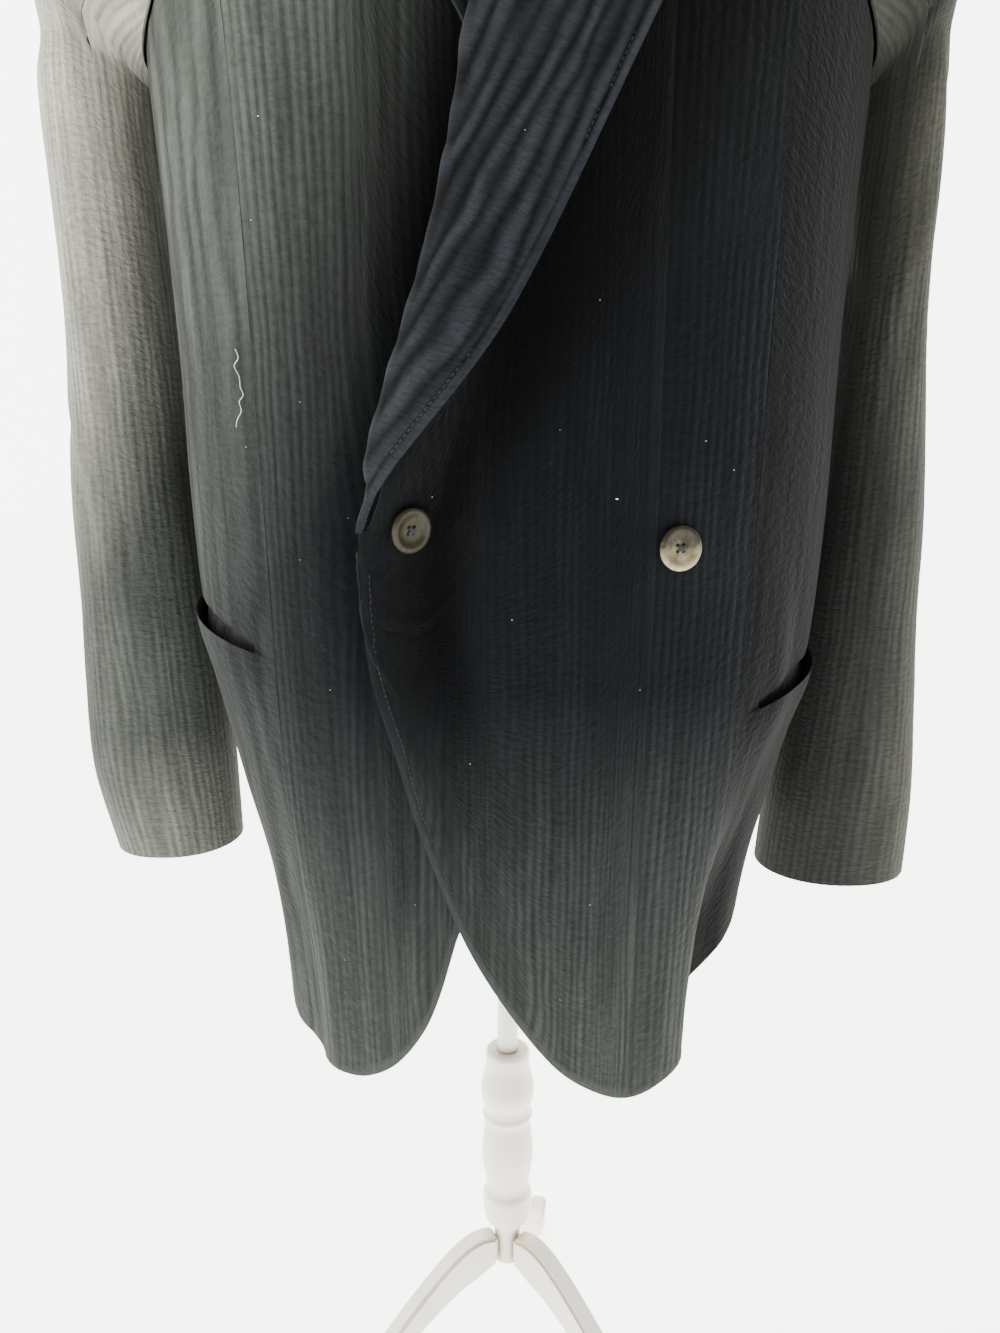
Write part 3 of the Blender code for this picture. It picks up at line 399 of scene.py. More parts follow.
cap_profile += [(CAP_RADIUS, CAP_FOOT + CAP_CHAMFER), (CAP_RADIUS, CAP_EDGE)]
for turn in np.linspace(0.1, 1.57, 10):
    rise = (CAP_TOP - CAP_EDGE) * math.sin(turn)
    cap_profile.append((CAP_RADIUS - CAP_ROUND * (1 - math.cos(turn)), CAP_EDGE + rise))
cap_profile.append((0, CAP_TOP))
cap = turn_on_lathe("neck_cap_turned", cap_profile, 72)
add_piece("neck_cap_turned", cap, stand_paint, "stand_paint", "form_neck_cap")

# The back: one piece of crinkled double gauze, heat-set in fine upright ribs, from shoulder seam to hem.
# It is woven almost black, and its colour is painted a little greener and paler towards the window, on the
# sleeves and at the hem: painted light, and at the hem partly the cloth's real fade.
CLOTH = 0.0016
SEAM = 0.0003
RIB_PITCH = 0.0057
SECTION_POWER = 2.3
SHOULDER_POWER = 1.1
SHOULDER_TURN = 0.24
WAIST = 0.79
CHEST = 1.05
NECK_SIDE_X = 0.078
NECK_SIDE_Z = 1.232
SHOULDER_SLOPE = 0.30
SHOULDER_X = 0.212
SHOULDER_Z = NECK_SIDE_Z - SHOULDER_SLOPE * (SHOULDER_X - NECK_SIDE_X)
NOTCH_Z = 1.130
ARMPIT_Z = 1.062

# height, half width, front depth, back depth
BODY = (
    (0.40, 0.162, 0.146, 0.136),
    (0.50, 0.166, 0.154, 0.136),
    (0.56, 0.173, 0.160, 0.132),
    (0.62, 0.187, 0.166, 0.128),
    (0.70, 0.203, 0.171, 0.123),
    (0.79, 0.210, 0.172, 0.119),
    (0.90, 0.213, 0.168, 0.123),
    (1.05, 0.222, 0.158, 0.135),
    (1.14, 0.228, 0.150, 0.136),
)
# height, x of the seam between front and side panel, x of the seam between side panel and back
SEAMS = (
    (0.40, 0.126, 0.142),
    (0.60, 0.134, 0.156),
    (0.79, 0.138, 0.166),
    (1.05, 0.1505, 0.172),
    (1.13, 0.164, 0.180),
)
# angle round the body from the front in degrees, half spread, depth at the hem, height where it fades out
FOLDS = (
    (53, 8, -0.027, 0.74),
    (-52, 7, -0.007, 0.70),
    (24, 12, 0.004, 0.62),
    (88, 15, -0.010, 0.72),
    (-86, 16, -0.008, 0.70),
    (128, 13, -0.010, 0.86),
    (150, 11, 0.009, 0.90),
    (177, 13, -0.008, 0.80),
    (-154, 12, 0.010, 0.92),
    (-129, 12, -0.011, 0.84),
)
# height at the front seam, rise to the back seam, how early it rises
HEM_RISE_LEFT = (0.443, 0.122, 3.0)
HEM_RISE_RIGHT = (0.432, 0.048, 2.2)
BACK_HEM = 0.494
HEM_SEAM_Z = 0.44


def smooth(start, end, value):
    """0 before start, 1 past end, and an even S between."""
    share = np.clip((np.asarray(value, float) - start) / (end - start), 0.0, 1.0)
    return share * share * (3 - 2 * share)


def shoulder_height(x):
    """The height of the shoulder line at a distance from the middle."""
    return NECK_SIDE_Z - SHOULDER_SLOPE * (np.abs(x) - NECK_SIDE_X)


def spread_out(x, z):
    """A front's column moves outward above the notch, to the full width of the shoulder."""
    notch = along(SEAMS, NOTCH_Z, 1)
    return x * (1 + (SHOULDER_X / notch - 1) * (np.abs(x) / notch) ** 2 * smooth(NOTCH_Z, SHOULDER_Z, z))


def over_shoulder(x, z):
    """How far the cloth has turned over the shoulder, in radians from the chest up."""
    share = np.clip((z - CHEST) / (shoulder_height(x) - CHEST), 0.0, 1.0)
    return np.arcsin(share**SHOULDER_POWER)


def angle_of(x, z, behind):
    """The place round the body in degrees, 0 at the front, 90 on the wearer's left and 180 at the back."""
    share = np.minimum(np.abs(x) / along(BODY, z, 1), 1.0)
    turn = np.degrees(np.arcsin(share ** (SECTION_POWER / 2)))
    return np.copysign(180 - turn if behind else turn, x)


def place_on_body(turn, z):
    """x and y of the smooth body surface at a place round it and a height below the chest."""
    s, c = np.sin(np.radians(turn)), np.cos(np.radians(turn))
    x = along(BODY, z, 1) * np.copysign(np.abs(s) ** (2 / SECTION_POWER), s)
    depth = np.where(c > 0, along(BODY, z, 2), along(BODY, z, 3))
    return x, -np.copysign(depth * np.abs(c) ** (2 / SECTION_POWER), c)


def fold_depth(turn, z):
    """How far the hanging folds push the cloth out at this place."""
    total = 0.0
    for middle, spread, depth, top in FOLDS:
        away = (turn - middle + 180) % 360 - 180
        total = total + depth * np.exp(-((away / spread) ** 2)) * smooth(top, HEM_SEAM_Z, z) ** 1.3
    return total


def side_hem(share, sign):
    """A side panel's hem, from the front seam at share 0 to the back seam at 1."""
    seam, lift, power = HEM_RISE_LEFT if sign > 0 else HEM_RISE_RIGHT
    return seam + lift * (1 - (1 - share) ** power)


def mottle(u, v, size_u, size_v, seed):
    """Smooth even randomness from -1 to 1 over the cloth, its patches of the given size in metres."""
    table = np.random.default_rng(seed).uniform(-1, 1, (257, 257))
    a, b = np.asarray(u) / size_u + 40.5, np.asarray(v) / size_v + 40.5
    i, j = np.floor(a).astype(int) % 256, np.floor(b).astype(int) % 256
    s, t = smooth(0, 1, a % 1.0), smooth(0, 1, b % 1.0)
    low = table[i, j] * (1 - s) + table[i + 1, j] * s
    return low * (1 - t) + (table[i, j + 1] * (1 - s) + table[i + 1, j + 1] * s) * t


def ribs(uv, height, seed, pitch=RIB_PITCH):
    """The heat-set ribs: rounded, a little wavy, beaded where cross threads pull in, and never quite even."""
    u, v = uv[..., 0], uv[..., 1]
    wander = 0.42 * mottle(u, v, 0.022, 0.075, seed) + 0.16 * mottle(u, v, 0.009, 0.020, seed + 1)
    wave = 0.5 + 0.5 * np.cos(2 * math.pi * (u / pitch + wander))
    uneven = 0.66 + 0.46 * mottle(u, v, 0.011, 0.060, seed + 2)
    bead = 1 + 0.28 * mottle(u, v, 0.004, 0.0085, seed + 3)
    return height * wave**0.8 * uneven * bead


def outward_of(points, flip):
    """The unit normals of a grid of points."""
    across = np.gradient(points, axis=0)
    up = np.gradient(points, axis=1)
    normal = np.cross(across, up)
    normal /= np.maximum(np.linalg.norm(normal, axis=2, keepdims=True), 1e-12)
    return -normal if flip else normal


def flat_size(points):
    """Width, length and area of a cut piece: its middle rows give the width, its longest column the length."""
    across = np.percentile(np.linalg.norm(np.diff(points, axis=0), axis=2).sum(0), 60)
    up = np.linalg.norm(np.diff(points, axis=1), axis=2).sum(1).max()
    first = np.cross(points[1:, :-1] - points[:-1, :-1], points[:-1, 1:] - points[:-1, :-1])
    second = np.cross(points[:-1, 1:] - points[1:, 1:], points[1:, :-1] - points[1:, 1:])
    area = (np.linalg.norm(first, axis=2) + np.linalg.norm(second, axis=2)).sum() / 2
    return float(max(across, area / up)), float(up), float(area)


def shell(name, points, uv, relief, thick=CLOTH, flip=False, holes=(), step=4, hollow=None):
    """A cloth shell on a grid of points: a fine outer side with the relief, a plain inner side, closed rims.

    Both counts of points less one divide by step. A hole is first column, last column, first row, last row.
    """
    columns, rows = points.shape[:2]
    normal = outward_of(points, flip)
    outer = points + normal * (thick / 2 + relief[..., None])
    inner = (points - normal * thick / 2)[::step, ::step]
    below = inner.shape[1]
    start = columns * rows
    faces = []

    def out(i, j):
        return i * rows + j

    def into(i, j):
        return start + (i // step) * below + j // step

    def holed(i, j):
        return any(a <= i < b and c <= j < d for a, b, c, d in holes)

    for i in range(columns - 1):
        for j in range(rows - 1):
            if not holed(i, j):
                faces.append((out(i, j), out(i + 1, j), out(i + 1, j + 1), out(i, j + 1)))
    for i in range(0, columns - 1, step):
        for j in range(0, rows - 1, step):
            if not holed(i, j):
                faces.append((into(i, j), into(i, j + step), into(i + step, j + step), into(i + step, j)))

    def rim_up(i, low, high, turned):
        for j in range(low, high, step):
            face = [out(i, j + k) for k in range(step + 1)] + [into(i, j + step), into(i, j)]
            faces.append(face[::-1] if turned else face)

    def rim_across(j, low, high, turned):
        for i in range(low, high, step):
            face = [out(i + k, j) for k in range(step + 1)] + [into(i + step, j), into(i, j)]
            faces.append(face if turned else face[::-1])

    rim_up(0, 0, rows - 1, False)
    rim_up(columns - 1, 0, rows - 1, True)
    rim_across(0, 0, columns - 1, False)
    rim_across(rows - 1, 0, columns - 1, True)
    for a, b, c, d in holes:
        rim_up(a, c, d, True)
        rim_up(b, c, d, False)
        rim_across(c, a, b, True)
        rim_across(d, a, b, False)
    if flip:
        faces = [face[::-1] for face in faces]
    data = weld(name, np.concatenate([outer.reshape(-1, 3), inner.reshape(-1, 3)]), faces)
    layer = data.uv_layers.new(name="threads")
    flat = np.concatenate([uv.reshape(-1, 2), uv[::step, ::step].reshape(-1, 2)])
    corner = np.empty(len(data.loops), np.int32)
    data.loops.foreach_get("vertex_index", corner)
    layer.data.foreach_set("uv", flat[corner].ravel())
    # Two point attributes carry painted shade into the gauze's colour: one lightens the tops of the ribs and
    # darkens their grooves, the other darkens the cloth where shadow falls.
    painted_rib_shade = np.clip(relief / max(np.percentile(relief, 90), 1e-6), -0.5, 1.2)
    for layer_name, values in (("painted_rib_shade", painted_rib_shade), ("hollow", 0 * relief if hollow is None else hollow)):
        flat = np.concatenate([values.ravel(), values[::step, ::step].ravel()]).astype(np.float32)
        data.attributes.new(layer_name, "FLOAT", "POINT").data.foreach_set("value", flat)
    data.shade_smooth()
    data.set_sharp_from_angle(angle=math.radians(65))
    return data


def cloth_piece(name, node, grid, uv, relief, material, rests_on, held="hung", **how):
    """A sewn piece on its grid of points; the size of its cut is measured but not kept."""
    made = add_piece(name, shell(name, grid, uv, relief, **how), material, "gauze", node)
    width, length, area = flat_size(grid)
    return made


def pressed(grid, uv, rows, flip=False):
    """The grid with soft troughs and ridges pressed or pulled into it, each by its own row.

    A row holds across and up of its middle, half length, half width, turn from upright in degrees, and depth.
    """
    total = 0.0
    for across, up, length, width, turn, depth in rows:
        s, c = math.sin(math.radians(turn)), math.cos(math.radians(turn))
        run = (uv[..., 0] - across) * s + (uv[..., 1] - up) * c
        off = (uv[..., 0] - across) * c - (uv[..., 1] - up) * s + 0.12 * run**2 / length
        total = total + depth * np.exp(-((run / length) ** 2)) * np.exp(-((off / width) ** 2))
    return grid + outward_of(grid, flip) * total[..., None]


def thread_lines(points, row=None):
    """Across and up in metres along the threads of a grid of points."""
    row = points.shape[1] // 2 if row is None else row
    u = np.concatenate([[0], np.cumsum(np.linalg.norm(np.diff(points[:, row], axis=0), axis=1))])
    middle = points.shape[0] // 2
    v = np.concatenate([[0], np.cumsum(np.linalg.norm(np.diff(points[middle], axis=0), axis=1))])
    return np.stack(np.broadcast_arrays(u[:, None], v[None, :]), axis=-1)


def gauze_finish(name, deep, pale, spans, rib_shade_weight=0.72):
    """Crinkled double gauze, with light and shade painted into its colour. Each span of direction, start, end
    and share leads from deep towards pale, painting light by place.
    """
    sheen_tint = (0.86, 0.90, 0.84, 1)
    made, place = finish(
        name, Sheen_Weight=0.04, Sheen_Roughness=0.5, Sheen_Tint=sheen_tint, Specular_IOR_Level=0.065
    )
    threads = place.node("UVMap", {}, uv_map="threads")
    painted_rib_shade = place.node("Attribute", {}, out="Fac", attribute_name="painted_rib_shade")
    hollow = place.node("Attribute", {}, out="Fac", attribute_name="hollow")
    long_way = threads.stretched(175.0, 14.0, 1.0).noise(1.0, 3.0)
    pucker = threads.stretched(170.0, 300.0, 1.0).noise(1.0, 2.0, 0.6)
    slub = threads.stretched(60.0, 1300.0, 1.0).noise(1.0, 1.0)
    weft = threads.stretched(1500.0, 1500.0, 1.0).noise(1.0, 1.0)
    fade_and_painted_light = place.noise(7.0, 3.0) * 0.16 - 0.08
    # Painted light: each span makes the cloth paler by its place where more light falls, or darker with a
    # negative share. At the body's hem it is partly the cloth's real fade. The noise above is the cloth's own
    # uneven tone.
    for direction, start, end, share in spans:
        reach = place.node("VectorMath", {0: place, 1: direction}, out="Value", operation="DOT_PRODUCT")
        fade_and_painted_light = fade_and_painted_light + reach.between(start, end) * share
    ground = fade_and_painted_light.node("Clamp", {"Value": fade_and_painted_light}).blend(deep, pale)
    worn = (long_way * 0.6 + pucker * 0.4).between(0.38, 0.70)
    # Painted shade: the colour is lighter on the rib tops and darker in their grooves, lighter where worn, and
    # darker where the shade attribute marks a painted shadow.
    bright = (painted_rib_shade * rib_shade_weight + worn * 0.62 + (0.89 - rib_shade_weight * 0.66)) * (1.0 - hollow * 0.96)
    colour = ground.node("VectorMath", {0: ground, "Scale": bright}, operation="SCALE")
    crinkle = place.bump(pucker + long_way * 0.5, 0.8, 0.0015)
    weave = place.bump(slub + weft * 0.8, 0.35, 0.00035, Normal=crinkle)
    connect(made, Base_Color=colour, Roughness=worn * 0.08 + 0.86, Normal=weave)
    return made


# Painted light: the body's gauze is painted paler on the wearer's right, towards the window, and higher up on
# that side. It is also paler towards the hem, partly painted light from the glowing floor and partly the
# cloth's real fade.
body_gauze = gauze_finish(
    "body_gauze",
    (0.0022, 0.0029, 0.0044, 1),
    (0.050, 0.057, 0.050, 1),
    (((0, 0, 1), 0.70, 0.42, 0.58), ((-0.8, 0, 0.6), 0.56, 0.80, 0.95), ((1, 0, 0), -0.06, -0.20, 0.22)),
)


def body_point(x, z, behind, extra=0.0):
    """Points of the fronts or the back at columns and heights, rounded over the shoulder above the chest."""
    low = np.minimum(z, CHEST)
    turn = angle_of(x, low, behind)
    _, y = place_on_body(turn, low)
    push = fold_depth(turn, z) + extra
    radians = np.radians(turn)
    moved_x, y = x + np.sin(radians) * push, y - np.cos(radians) * push
    up_x = spread_out(x, z)
    above = z > CHEST
    y = np.where(above, np.minimum(y * np.cos(over_shoulder(up_x, z)), -SEAM), y)
    return np.stack([np.where(above, up_x + moved_x - x, moved_x), y, z + 0 * x], axis=-1)


def back_point(x, share, z):
    """Points of the back at columns, their shares of its half width, and heights."""
    low = np.minimum(z, CHEST)
    x_low = -share * (along(SEAMS, z, 2) - SEAM / 2)
    turn = angle_of(x_low, low, True)
    base_x, y = place_on_body(turn, low)
    radians = np.radians(turn)
    push = fold_depth(turn, z)
    base_x, y = base_x + np.sin(radians) * push + x - x_low, y - np.cos(radians) * push
    y = np.where(z > CHEST, np.maximum(y * np.cos(over_shoulder(x, z)), 2 * SEAM), y)
    return np.stack([base_x, y, z + 0 * base_x], axis=-1)


back_share = np.linspace(-1, 1, 241)[:, None]
back_rows = np.linspace(0, 1, 161)[None, :]
seam_x = -back_share * along(SEAMS, WAIST, 2)
side_low = np.where(back_share < 0, side_hem(1, 1), side_hem(1, -1))
back_low = BACK_HEM + (side_low - BACK_HEM) * np.abs(back_share) ** 1.6
neck_dip = 1.0 - 0.38 * (1 - smooth(0.0, 1.0, np.minimum(np.abs(seam_x) / NECK_SIDE_X, 1.0) ** 2))
below_chest = CHEST - back_low
reached = (below_chest + SHOULDER_TURN * math.pi / 2 * neck_dip) * back_rows
turned = np.clip((reached - below_chest) / SHOULDER_TURN, 0, math.pi / 2)
above_chest = (shoulder_height(seam_x) - CHEST) * np.sin(turned) ** (1 / SHOULDER_POWER)
back_z = np.where(reached <= below_chest, back_low + reached, CHEST + above_chest)
seam_now = along(SEAMS, back_z, 2) - SEAM / 2
spread = (SHOULDER_X - along(SEAMS, NOTCH_Z, 2)) * np.abs(back_share) * smooth(NOTCH_Z, SHOULDER_Z, back_z)
back_grid = back_point(-back_share * (seam_now + spread), back_share, back_z)
back_uv = thread_lines(back_grid, 75)
# across, up, half length, half width, turn from upright in degrees, depth
BACK_CREASES = (
    (0.090, 0.20, 0.110, 0.016, 6, 0.0026),
    (0.135, 0.34, 0.080, 0.012, -10, -0.0022),
    (0.262, 0.24, 0.120, 0.017, -7, 0.0028),
    (0.220, 0.42, 0.070, 0.011, 12, -0.0020),
    (0.180, 0.55, 0.030, 0.070, 4, 0.0016),
    (0.060, 0.62, 0.050, 0.013, 38, -0.0024),
    (0.300, 0.61, 0.055, 0.014, -36, -0.0026),
)
back_grid = pressed(back_grid, back_uv, BACK_CREASES)
back_ribs = ribs(back_uv, 0.00062, 11)
cloth_piece("back_gauze", "back", back_grid, back_uv, back_ribs, body_gauze, ["form_torso"])

# The side panels: cut in one with a slanted pocket mouth near the front seam, each backed by a plain facing.
# The lower lip of a mouth sags and gapes, and the seams to the front and the back are pressed open.
POCKET_FROM, POCKET_TO = 0.03, 0.55
POCKET_LIP = {1: 0.678, -1: 0.713}
POCKET_LIFT = 0.026
POCKET_SHUT, POCKET_GAP = 0.0015, 0.009
FACING_FROM, FACING_TO = 0.02, 0.58
FACING_BELOW, FACING_TALL = 0.045, 0.075
FACING_CLOTH = 0.0012
FACING_GAP = 0.0016


def side_top(share):
    """A side panel's top edge: lowest at the armpit, in its middle."""
    return ARMPIT_Z + (NOTCH_Z - ARMPIT_Z) * np.abs(2 * share - 1) ** 2.2


def pocket_height(share, sign):
    """The lower lip of the slanted mouth: lowest at the front seam."""
    return POCKET_LIP[sign] + POCKET_LIFT * (share - POCKET_FROM) / (POCKET_TO - POCKET_FROM)


def pocket_open(share):
    """How far the mouth gapes along its length, from 0 to 1."""
    middle = np.clip((share - POCKET_FROM) / (POCKET_TO - POCKET_FROM), 0, 1)
    return np.maximum(np.sin(math.pi * middle), 0) ** 0.7


def pocket_lip(share, z, sign):
    """The lower lip of the mouth hangs a little away from the body."""
    below = pocket_height(share, sign) - z
    sag = 0.006 * pocket_open(share) * np.exp(-((np.maximum(below, 0) / 0.030) ** 2))
    return np.where(below > -0.001, sag, 0.0)


def side_point(share, z, sign):
    """Points of a side panel at shares from its front to its back seam, and heights."""
    low = np.minimum(z, CHEST)
    first = angle_of(along(SEAMS, z, 1), low, False)
    last = angle_of(along(SEAMS, z, 2), low, True)
    inset = math.degrees(SEAM / 2 / 0.2)
    turn = first + inset + (last - first - 2 * inset) * share
    x, y = place_on_body(turn, low)
    radians = np.radians(turn)
    out = fold_depth(sign * turn, z) + pocket_lip(share, z, sign)
    x, y = x + np.sin(radians) * out, y - np.cos(radians) * out
    y = np.where(z > CHEST, y * np.cos(over_shoulder(x, z)), y)
    return np.stack([sign * x, y, z + 0 * x], axis=-1)


# across, up, half length, half width, turn from upright in degrees, depth
SIDE_CREASES = {
    1: ((0.030, 0.10, 0.10, 0.012, 10, 0.0022), (0.060, 0.16, 0.09, 0.014, -12, -0.0022)),
    -1: ((0.045, 0.12, 0.10, 0.013, -8, 0.0024), (0.020, 0.19, 0.07, 0.011, 14, -0.0018)),
}
for sign, name in ((1, "left"), (-1, "right")):
    share = np.linspace(0, 1, 65)[:, None]
    hem, lip, top = side_hem(share, sign), pocket_height(share, sign), side_top(share)
    upper = lip + POCKET_SHUT + POCKET_GAP * pocket_open(share)
    below = hem + (lip - hem) * np.linspace(0, 1, 61)[None, :]
    mouth = lip + (upper - lip) * np.linspace(0, 1, 5)[None, 1:-1]
    above = upper + (top - upper) * np.linspace(0, 1, 85)[None, :]
    side_grid = side_point(share, np.concatenate([below, mouth, above], axis=1), sign)
    side_uv = thread_lines(side_grid, 60)
    side_grid = pressed(side_grid, side_uv, SIDE_CREASES[sign], sign < 0)
    side_ribs = ribs(side_uv, 0.00034, 31 + sign)
    # Painted shade: the side panel on the wearer's left, away from the window, is painted darker all over.
    side_piece = cloth_piece(
        "side_gauze_" + name,
        "side_" + name,
        side_grid,
        side_uv,
        side_ribs,
        body_gauze,
        ["back_gauze"],
        flip=sign < 0,
        holes=[(4, 32, 60, 64)],
        hollow=0.66 * (sign > 0) + 0 * side_ribs,
    )

    share = np.linspace(FACING_FROM, FACING_TO, 33)[:, None]
    facing_z = pocket_height(share, sign) - FACING_BELOW + np.linspace(0, FACING_TALL, 29)[None, :]
    facing_grid = side_point(share, facing_z, sign)
    sunk = CLOTH + SEAM + FACING_GAP + pocket_lip(share, facing_z, sign)
    facing_grid = facing_grid - outward_of(facing_grid, sign < 0) * sunk[..., None]
    facing_uv = thread_lines(facing_grid)
    facing_ribs = ribs(facing_uv, 0.00025, 51 + sign)
    cloth_piece(
        "facing_gauze_" + name,
        "pocket_facing_" + name,
        facing_grid,
        facing_uv,
        facing_ribs,
        body_gauze,
        [side_piece],
        thick=FACING_CLOTH,
        flip=sign < 0,
    )

# The fronts: the wearer's left laps over the right and carries both buttons, its edge proud of a deep trough.
# Each front is one piece from the rounded hem up to the roll line of its lapel and the shoulder seam.
# x, height of the hem and front edge of the top front, from its edge to its side seam
TOP_HEM = (
    (-0.0750, 0.770),
    (-0.0738, 0.740),
    (-0.0705, 0.708),
    (-0.0620, 0.668),
    (-0.0540, 0.624),
    (-0.0300, 0.552),
    (-0.0050, 0.503),
    (0.0270, 0.457),
    (0.0520, 0.437),
    (0.0740, 0.429),
    (0.1000, 0.433),
    (0.1270, 0.443),
)
# x, height of the hem and front edge of the under front, from its side seam to its edge
UNDER_HEM = (
    (-0.1270, 0.432),
    (-0.1080, 0.433),
    (-0.0900, 0.438),
    (-0.0700, 0.453),
    (-0.0520, 0.480),
    (-0.0420, 0.506),
    (-0.0300, 0.550),
    (0.0000, 0.604),
    (0.0400, 0.660),
    (0.0800, 0.716),
    (0.1070, 0.772),
)
# height, x of the top front's roll line, x of its lapel's outer edge
ROLL = (
    (0.790, -0.0750, -0.0750),
    (0.810, -0.0675, -0.0640),
    (0.836, -0.0620, -0.0460),
    (0.886, -0.0480, -0.0120),
    (0.927, -0.0370, 0.0110),
    (0.979, -0.0260, 0.0370),
    (1.044, -0.0150, 0.0680),
    (1.090, 0.0000, 0.0900),
    (1.130, 0.0180, 0.1080),
    (1.165, 0.0370, 0.1150),
    (1.200, 0.0570, 0.1180),
    (1.236, 0.0780, 0.1200),
)
LAPEL_MIRROR = 0.032
LAPEL_ROUND = 0.004
EDGE_RIDGE = 0.018
EDGE_TROUGH = 0.014
STITCH_INSET = 0.005
UNDER_DEPTH, UNDER_LAPEL_DEPTH = 0.0045, 0.0140
TOP_EDGE = sorted((height, x) for x, height in TOP_HEM[:9])


def top_edge(z):
    """The x of the top front's free edge at a height, or of its roll line above that edge."""
    return np.where(z > WAIST, along(ROLL, z, 1), along(TOP_EDGE, z))


def stitch_groove(from_edge):
    """The shallow groove that a row of topstitching pulls into the cloth."""
    return 0.0006 * np.exp(-(((from_edge - STITCH_INSET) / 0.0011) ** 2))


def edge_ridge(gap, z, bridged=False):
    """The top front's edge and roll line stand proud, with a trough beside them that the lapel bridges."""
    height = smooth(0.58, 0.74, z) * (1 - 0.55 * smooth(0.84, 1.02, z)) * (1 - smooth(1.06, 1.18, z))
    if bridged:
        return EDGE_RIDGE * np.exp(-((gap / 0.060) ** 2)) * height
    trough = EDGE_TROUGH * np.exp(-(((gap - 0.038) / 0.022) ** 2))
    return (EDGE_RIDGE * (1 - smooth(0.0, 0.030, gap)) - trough) * height


def top_front_point(x, z, bridged=False):
    """Points of the top front; bridged ones leave out the trough, for its lapel."""
    return body_point(x, z, False, edge_ridge(x - top_edge(z), z, bridged))


def under_front_point(x, z):
    """The under front passes inside the top front, deeper where its own lapel lies between them."""
    edge = top_edge(z)
    inside = smooth(edge - 0.035, edge + 0.004, x)
    deep = UNDER_DEPTH + UNDER_LAPEL_DEPTH * smooth(0.70, 0.80, z) + np.maximum(-edge_ridge(x - edge, z), 0.0)
    return body_point(x, z, False, -inside * deep * (1 - smooth(1.11, 1.19, z)))


def mirror_shift(z):
    """How far the under lapel's lines lie beside the mirrored ones, down from the neck."""
    return LAPEL_MIRROR * (1 - smooth(1.06, 1.22, z))


def under_roll(z):
    """The under front's roll line: the top front's, mirrored about the centre front."""
    return mirror_shift(z) - along(ROLL, z, 1)


def halve(low, high, is_high):
    """The values between two arrays where a rising test turns true."""
    for _ in range(30):
        middle = (low + high) / 2
        high_side = is_high(middle)
        low, high = np.where(high_side, low, middle), np.where(high_side, middle, high)
    return (low + high) / 2


def arc_up(x, z):
    """Height along the cloth, which lengthens where it turns over the shoulder."""
    return np.where(z > CHEST, CHEST + SHOULDER_TURN * over_shoulder(spread_out(x, z), z), z)


# across, up, half length, half width, turn from upright in degrees, depth
TOP_CREASES = (
    (0.060, 0.335, 0.045, 0.007, 52, -0.0006),
    (0.085, 0.372, 0.050, 0.009, 60, 0.0006),
    (0.110, 0.300, 0.050, 0.010, 34, 0.0006),
    (0.150, 0.200, 0.120, 0.016, -6, 0.0020),
    (0.105, 0.140, 0.110, 0.015, 8, -0.0018),
    (0.060, 0.210, 0.070, 0.012, 20, 0.0016),
    (0.190, 0.620, 0.060, 0.012, 24, -0.0022),
)
# across, up, half length, half width, turn from upright in degrees, depth
UNDER_CREASES = (
    (0.070, 0.330, 0.050, 0.006, -64, -0.0012),
    (0.095, 0.352, 0.060, 0.006, -76, 0.0013),
    (0.080, 0.386, 0.050, 0.005, -82, -0.0011),
    (0.120, 0.220, 0.120, 0.015, 8, 0.0022),
    (0.070, 0.150, 0.110, 0.014, -6, -0.0018),
    (0.190, 0.620, 0.060, 0.012, -24, -0.0022),
)


def front_grid(point, hem, roll, sign, columns, rows):
    """Columns from the free edge to the side seam, each from the hem to the roll line or the shoulder."""
    start = hem[-1][0] if sign < 0 else hem[0][0]
    share = np.linspace(0, 1, columns + 1)[:, None]
    seam = along(SEAMS, WAIST, 1)
    near = start + (sign * seam - start) * share
    low = along(hem, near * (1 + (along(SEAMS, HEM_SEAM_Z, 1) / seam - 1) * share**2), 1)
    inside = sign * near - LAPEL_ROUND
    ridge = CHEST + SHOULDER_TURN * math.pi / 2 - 1e-5
    at_roll = halve(WAIST + 0 * inside, ROLL[-1][0] + 0 * inside, lambda z: roll(z) > inside)
    at_shoulder = halve(0 * near + NOTCH_Z, 0 * near + 1.24, lambda z: arc_up(near, z) >= ridge)
    high = np.where(inside >= NECK_SIDE_X, at_shoulder, at_roll)
    first, last = arc_up(near, low), arc_up(near, high)
    want = first + (last - first) * np.linspace(0, 1, rows + 1)[None, :]
    z = halve(low + 0 * want, high + 0 * want, lambda z: arc_up(near, z) > want)
    x = near * (1 + (along(SEAMS, z, 1) / seam - 1) * share**2) - sign * SEAM / 2 * share**4
    return point(x, z), near, low


